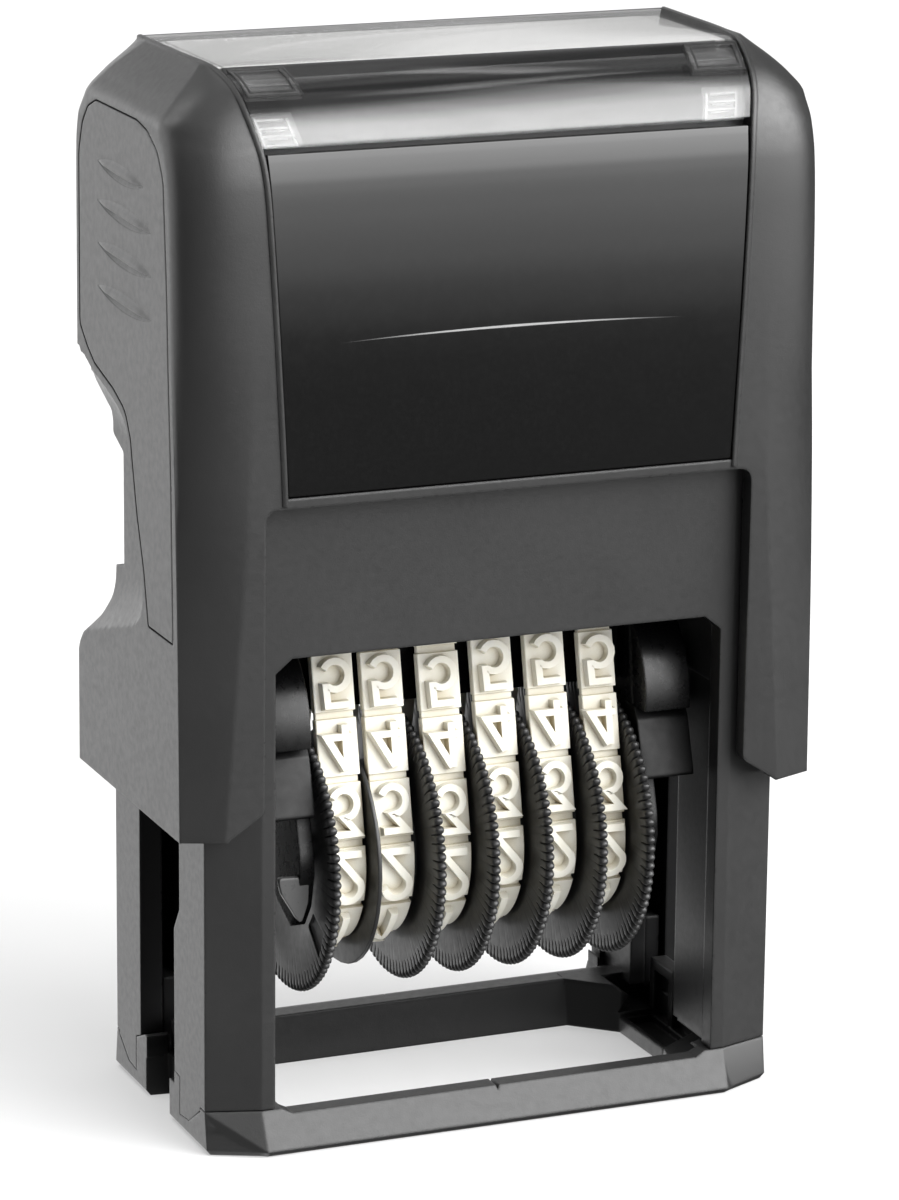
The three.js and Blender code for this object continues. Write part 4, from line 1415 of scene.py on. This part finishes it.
def stroke(points):
    """A solid bar with drafted sides, along a polyline in x, y."""
    line = [np.array(points[0], float)]
    for point in points[1:]:
        p = np.array(point, float)
        if np.linalg.norm(p - line[-1]) > 0.03:
            line.append(p)
    last = len(line) - 1
    loops = []
    for i, p in enumerate(line):
        a = line[i] - line[i - 1] if i else line[1] - line[0]
        b = line[i + 1] - line[i] if i < last else a
        a, b = a / np.linalg.norm(a), b / np.linalg.norm(b)
        along = a + b
        along /= np.linalg.norm(along)
        across = np.array((-along[1], along[0]))
        mitre = 1 / max(0.45, float(along @ a))
        # the foot of the bar is a little longer at both ends
        foot = {0: -0.06, last: 0.06}.get(i, 0.0)
        loop = []
        for sign, (width, height), extra in (
            (-1, STROKE_LOW, foot), (-1, STROKE_TOP, 0.0),
            (1, STROKE_TOP, 0.0), (1, STROKE_LOW, foot),
        ):
            q = p + across * (sign * width) * mitre / 2 + along * extra
            loop.append((q[0], q[1], height))
        loops.append(loop)
    return loft(loops)


def glyph(strokes):
    """Vertices and faces of a numeral, flat, sliced so that it can bend."""
    ob, *others = [stroke(points) for points in strokes]
    add(ob, *others)
    bm = bmesh.new()
    bm.from_mesh(ob.data)
    for k in range(-5, 6):
        bmesh.ops.bisect_plane(
            bm, geom=bm.verts[:] + bm.edges[:] + bm.faces[:],
            plane_co=(0, 0.37 * k, 0), plane_no=(0, 1, 0), dist=1e-4,
        )
    vertices = [tuple(vertex.co) for vertex in bm.verts]
    faces = [[vertex.index for vertex in face.verts] for face in bm.faces]
    bm.free()
    remove(ob)
    return vertices, faces


GLYPHS = {char: glyph(strokes) for char, strokes in NUMERALS.items()}

# ------------------------------------------------------------------------- bands
# plates upwards from the 4/3 joint; some are blank
BAND_CHARS = ["4", "5", "6", "7", "8", "9", "", "-", "", "", "0", "1", "2", "3"]
BELT_H, PLATE_H = 0.48, 0.76
PLATE_GAP = 0.3  # from joint to plate
PLATE_STEPS = 10
BAND_CHAMFER = 0.06
GLYPH_STRETCH = 1.08


def band_section(x0, x1, way, height, drawn_in):
    c = BAND_CHAMFER
    x0, x1 = x0 + drawn_in, x1 - drawn_in
    section = [(x0, 0), (x0, height - c), (x0 + c, height), (x1 - c, height), (x1, height - c), (x1, 0)]
    return [(x, *band_point(way, h)) for x, h in section]


def number_band(x0, x1, joint_z):
    """One rubber band: belt, plates and raised numerals, wrapped round the loop."""
    joint = way_at(joint_z, 0.9)
    loops = []
    for k in reversed(range(PLATES)):
        start = joint - (k + 1) * PITCH
        a, b = start + PLATE_GAP, start + PITCH - PLATE_GAP
        stations = [(start + 0.02, BELT_H, 0.1), (a - 0.05, BELT_H, 0.1)]
        for j in range(PLATE_STEPS + 1):
            stations.append((a + (b - a) * j / PLATE_STEPS, PLATE_H, 0.0))
        stations += [(b + 0.05, BELT_H, 0.1), (start + PITCH - 0.02, BELT_H, 0.1)]
        loops += [band_section(x0, x1, *station) for station in stations]
    vertices = [p for loop in loops for p in loop]
    faces = ring_faces(len(loops[0]), len(loops), closed=True)
    for k, char in enumerate(BAND_CHARS):
        if not char:
            continue
        centre = joint - (k + 0.5) * PITCH
        glyph_vertices, glyph_faces = GLYPHS[char]
        first = len(vertices)
        for x, y, height in glyph_vertices:
            across = (x0 + x1) / 2 + x * GLYPH_STRETCH
            vertices.append((across, *band_point(centre + y, height)))
        faces += [[first + i for i in face] for face in glyph_faces]
    return mesh_object(vertices, faces)


for i, (_, _, (low, high), joint_z) in enumerate(WHEELS):
    band = number_band(low + 0.02, high - 0.02, joint_z)
    shade(band, crease=28)
    finish(
        band, f"number_band_{i + 1}_rubber", "print_unit", RUBBER,
        f"number_band_{i + 1}",
    )

# ----------------------------------------------------------------- return spring
TURNS, COIL_R, WIRE_R = 7.5, 4.1, 0.5
SPRING_Z, SPRING_RISE = 52.1, 27.6
SPRING_STEPS, WIRE_SIDES = 420, 12


def spring_coil():
    """Pitch falls to nothing over the first and last turn, as on closed ends."""
    turn = 1.0 / TURNS
    loops = []
    for i in range(SPRING_STEPS + 1):
        t = i / SPRING_STEPS
        angle = 2 * math.pi * TURNS * t
        if t < turn:
            q = 0.5 * t * t / turn
        elif t > 1 - turn:
            q = 1 - turn - 0.5 * (1 - t) ** 2 / turn
        else:
            q = t - 0.5 * turn
        z = SPRING_Z + SPRING_RISE * q / (1 - turn)
        loop = []
        for j in range(WIRE_SIDES):
            b = 2 * math.pi * j / WIRE_SIDES
            r = COIL_R + WIRE_R * math.cos(b)
            loop.append((r * math.cos(angle), r * math.sin(angle), z + WIRE_R * math.sin(b)))
        loops.append(loop)
    return loft(loops)


spring = spring_coil()
shade(spring, crease=60)
finish(spring, "return_spring_coil", "base", STEEL, "return_spring")
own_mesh(spring)

# ------------------------------------------------------------------------- stage
floor = mesh_object([(-3, -3, 0), (3, -3, 0), (3, 3, 0), (-3, 3, 0)], [[0, 1, 2, 3]], "floor")
floor.data.materials.append(floor_pale())
floor.location.z = -0.00005
floor.visible_glossy = False

# ------------------------------------------------------------------------- world
# soft boxes, each as (azimuth, weight) and (elevation, brightness) in degrees;
# azimuth 0 is towards -Y, 90 towards +X
PANELS = [
    # front right, the one the label and the window mirror
    (
        [
            (-180, 0), (-14, 0), (10, 0.58), (22, 0.64), (30, 0.8), (43, 0.95), (50, 1),
            (64, 1), (77, 0.32), (86, 0.08), (96, 0), (180, 0),
        ],
        [
            (-90, 0.1), (-20, 0.1), (-12.5, 0.2), (-9.8, 0.4), (-8.6, 1.2), (-7.0, 2.1),
            (-4, 3.0), (3, 4.3), (9, 7), (16, 9.5), (36, 12), (44, 9.6), (51, 6.2),
            (57, 4.2), (62, 2.2), (66, 0.9), (74, 0.6), (90, 0.5),
        ],
    ),
    # behind, to the left: the sheen on the left faces and the shoulder
    (
        [(-180, 0.8), (-168, 1), (-118, 1), (-98, 0), (158, 0), (180, 0.8)],
        [
            (-90, 1.0), (-25, 1.3), (-5, 1.5), (2, 2.0), (10, 1.9), (17, 0.8), (25, 0.5),
            (70, 0.5), (90, 0.5),
        ],
    ),
    # high behind, to the left: the soft glint on the shoulder's corner
    (
        [(-180, 0), (-156, 0), (-144, 1), (-124, 1), (-110, 0), (180, 0)],
        [(-90, 0), (6, 0), (20, 1.0), (35, 2.2), (50, 2.5), (62, 1.4), (76, 0), (90, 0)],
    ),
    # behind, to the right: a pale wall with a darker stretch above the table
    (
        [(-180, 0.15), (-168, 0), (136, 0), (152, 1), (165, 1), (180, 0.15)],
        [
            (-90, 0.9), (-13, 0.9), (-6, 0.35), (2, 0.4), (8, 0.62), (18, 0.62), (30, 0.45),
            (44, 0.5), (56, 0.8), (72, 0.8), (90, 0.5),
        ],
    ),
    # a narrow strip high behind, to the right: the thin bright line along the window
    (
        [(-180, 0), (112, 0), (121, 1), (138, 1), (148, 0), (180, 0)],
        [(-90, 0), (54, 0), (57.5, 1.6), (60.5, 3.2), (62, 2.4), (64, 0), (90, 0)],
    ),
    # the rest of the room
    (
        [
            (-180, 0), (-118, 0), (-96, 1), (-20, 1), (10, 0.5), (40, 0), (110, 0),
            (125, 0.8), (150, 0), (180, 0),
        ],
        [(-90, 0.08), (-10, 0.08), (20, 0.12), (50, 0.3), (75, 0.6), (90, 0.6)],
    ),
]
BRIGHTEST = 12.0
DIFFUSE_CUT = -0.72  # diffuse light sees the room dimmer than reflections do


def ramp(g, value, limit, pairs, top):
    """A smooth profile through (degrees, value) pairs, from -limit to limit."""
    node = g.node("ShaderNodeValToRGB", {0: value})
    node.color_ramp.interpolation = "EASE"
    stops = node.color_ramp.elements
    while len(stops) > 1:
        stops.remove(stops[0])
    for i, (degrees, level) in enumerate(pairs):
        position = (degrees + limit) / (2 * limit)
        stop = stops[0] if i == 0 else stops.new(position)
        stop.position = position
        stop.color = (level / top,) * 3 + (1,)
    return g.math("MULTIPLY", node.outputs[0], top)


def build_world():
    scene.world = bpy.data.worlds.new("studio")
    g = Graph(scene.world)
    direction = g.node("ShaderNodeTexCoord").outputs["Generated"]
    x, y, z = g.node("ShaderNodeSeparateXYZ", {0: direction}).outputs
    elevation = g.span(g.math("ARCSINE", z), (-math.pi / 2, math.pi / 2))
    azimuth = g.math("ARCTAN2", x, g.math("MULTIPLY", y, -1.0))
    azimuth = g.span(azimuth, (-math.pi, math.pi))
    room = 0.0
    for weights, levels in PANELS:
        weight = ramp(g, azimuth, 180, weights, top=1.0)
        level = ramp(g, elevation, 90, levels, top=BRIGHTEST)
        room = g.math("ADD", room, g.math("MULTIPLY", weight, level))
    rays = g.node("ShaderNodeLightPath").outputs
    dimming = g.math("ADD", g.math("MULTIPLY", rays["Is Diffuse Ray"], DIFFUSE_CUT), 1.0)
    room = g.math("MULTIPLY", room, dimming)
    lit = g.make("ShaderNodeBackground", {"Color": WHITE, "Strength": room})
    seen = g.make("ShaderNodeBackground", {"Color": WHITE, "Strength": 1.0})
    mixed = g.make("ShaderNodeMixShader", {0: rays["Is Camera Ray"], 1: lit, 2: seen})
    g.node("ShaderNodeOutputWorld", {0: mixed})


build_world()


# ------------------------------------------------------------------------ lights
def area_light(name, location, target, size, power):
    """A square light that neither the camera nor reflections see."""
    light = bpy.data.lights.new(name, "AREA")
    light.shape = "RECTANGLE"
    light.size = light.size_y = size
    light.energy = power
    ob = bpy.data.objects.new(name, light)
    scene.collection.objects.link(ob)
    ob.location = location
    ob.rotation_mode = "QUATERNION"
    ob.rotation_quaternion = (Vector(target) - Vector(location)).to_track_quat("-Z", "Y")
    ob.visible_camera = False
    ob.visible_glossy = False


area_light("overhead", location=(-0.05, -0.1, 0.9), target=(0, 0, 0), size=0.8, power=7.7)
area_light("key", location=(0.16, -0.3, 0.24), target=(0, 0, 0.06), size=0.2, power=0.42)

# ------------------------------------------------------------------------ camera
AZIMUTH, ELEVATION = math.radians(-22.69062), math.radians(15.15278)
ROLL = math.radians(0.58428)
DISTANCE = 0.4007331
TARGET = Vector((0.00045087, 0, 0.03936789))


def build_camera():
    data = bpy.data.cameras.new("camera")
    camera = bpy.data.objects.new("camera", data)
    scene.collection.objects.link(camera)
    data.sensor_fit = "VERTICAL"
    data.sensor_width = 36.0
    data.sensor_height = 36.0
    data.lens = 152.76528
    data.clip_start = 0.01
    data.clip_end = 20
    back = Vector((
        math.sin(AZIMUTH) * math.cos(ELEVATION),
        -math.cos(AZIMUTH) * math.cos(ELEVATION),
        math.sin(ELEVATION),
    ))
    right = (-back).cross(Vector((0, 0, 1))).normalized()
    up = right.cross(-back)
    rolled_right = right * math.cos(ROLL) + up * math.sin(ROLL)
    rolled_up = -right * math.sin(ROLL) + up * math.cos(ROLL)
    turn = Matrix((rolled_right, rolled_up, back)).transposed().to_4x4()
    camera.matrix_world = Matrix.Translation(TARGET + back * DISTANCE) @ turn
    scene.camera = camera


build_camera()
scene.view_settings.view_transform = "Standard"
scene.view_settings.look = "None"
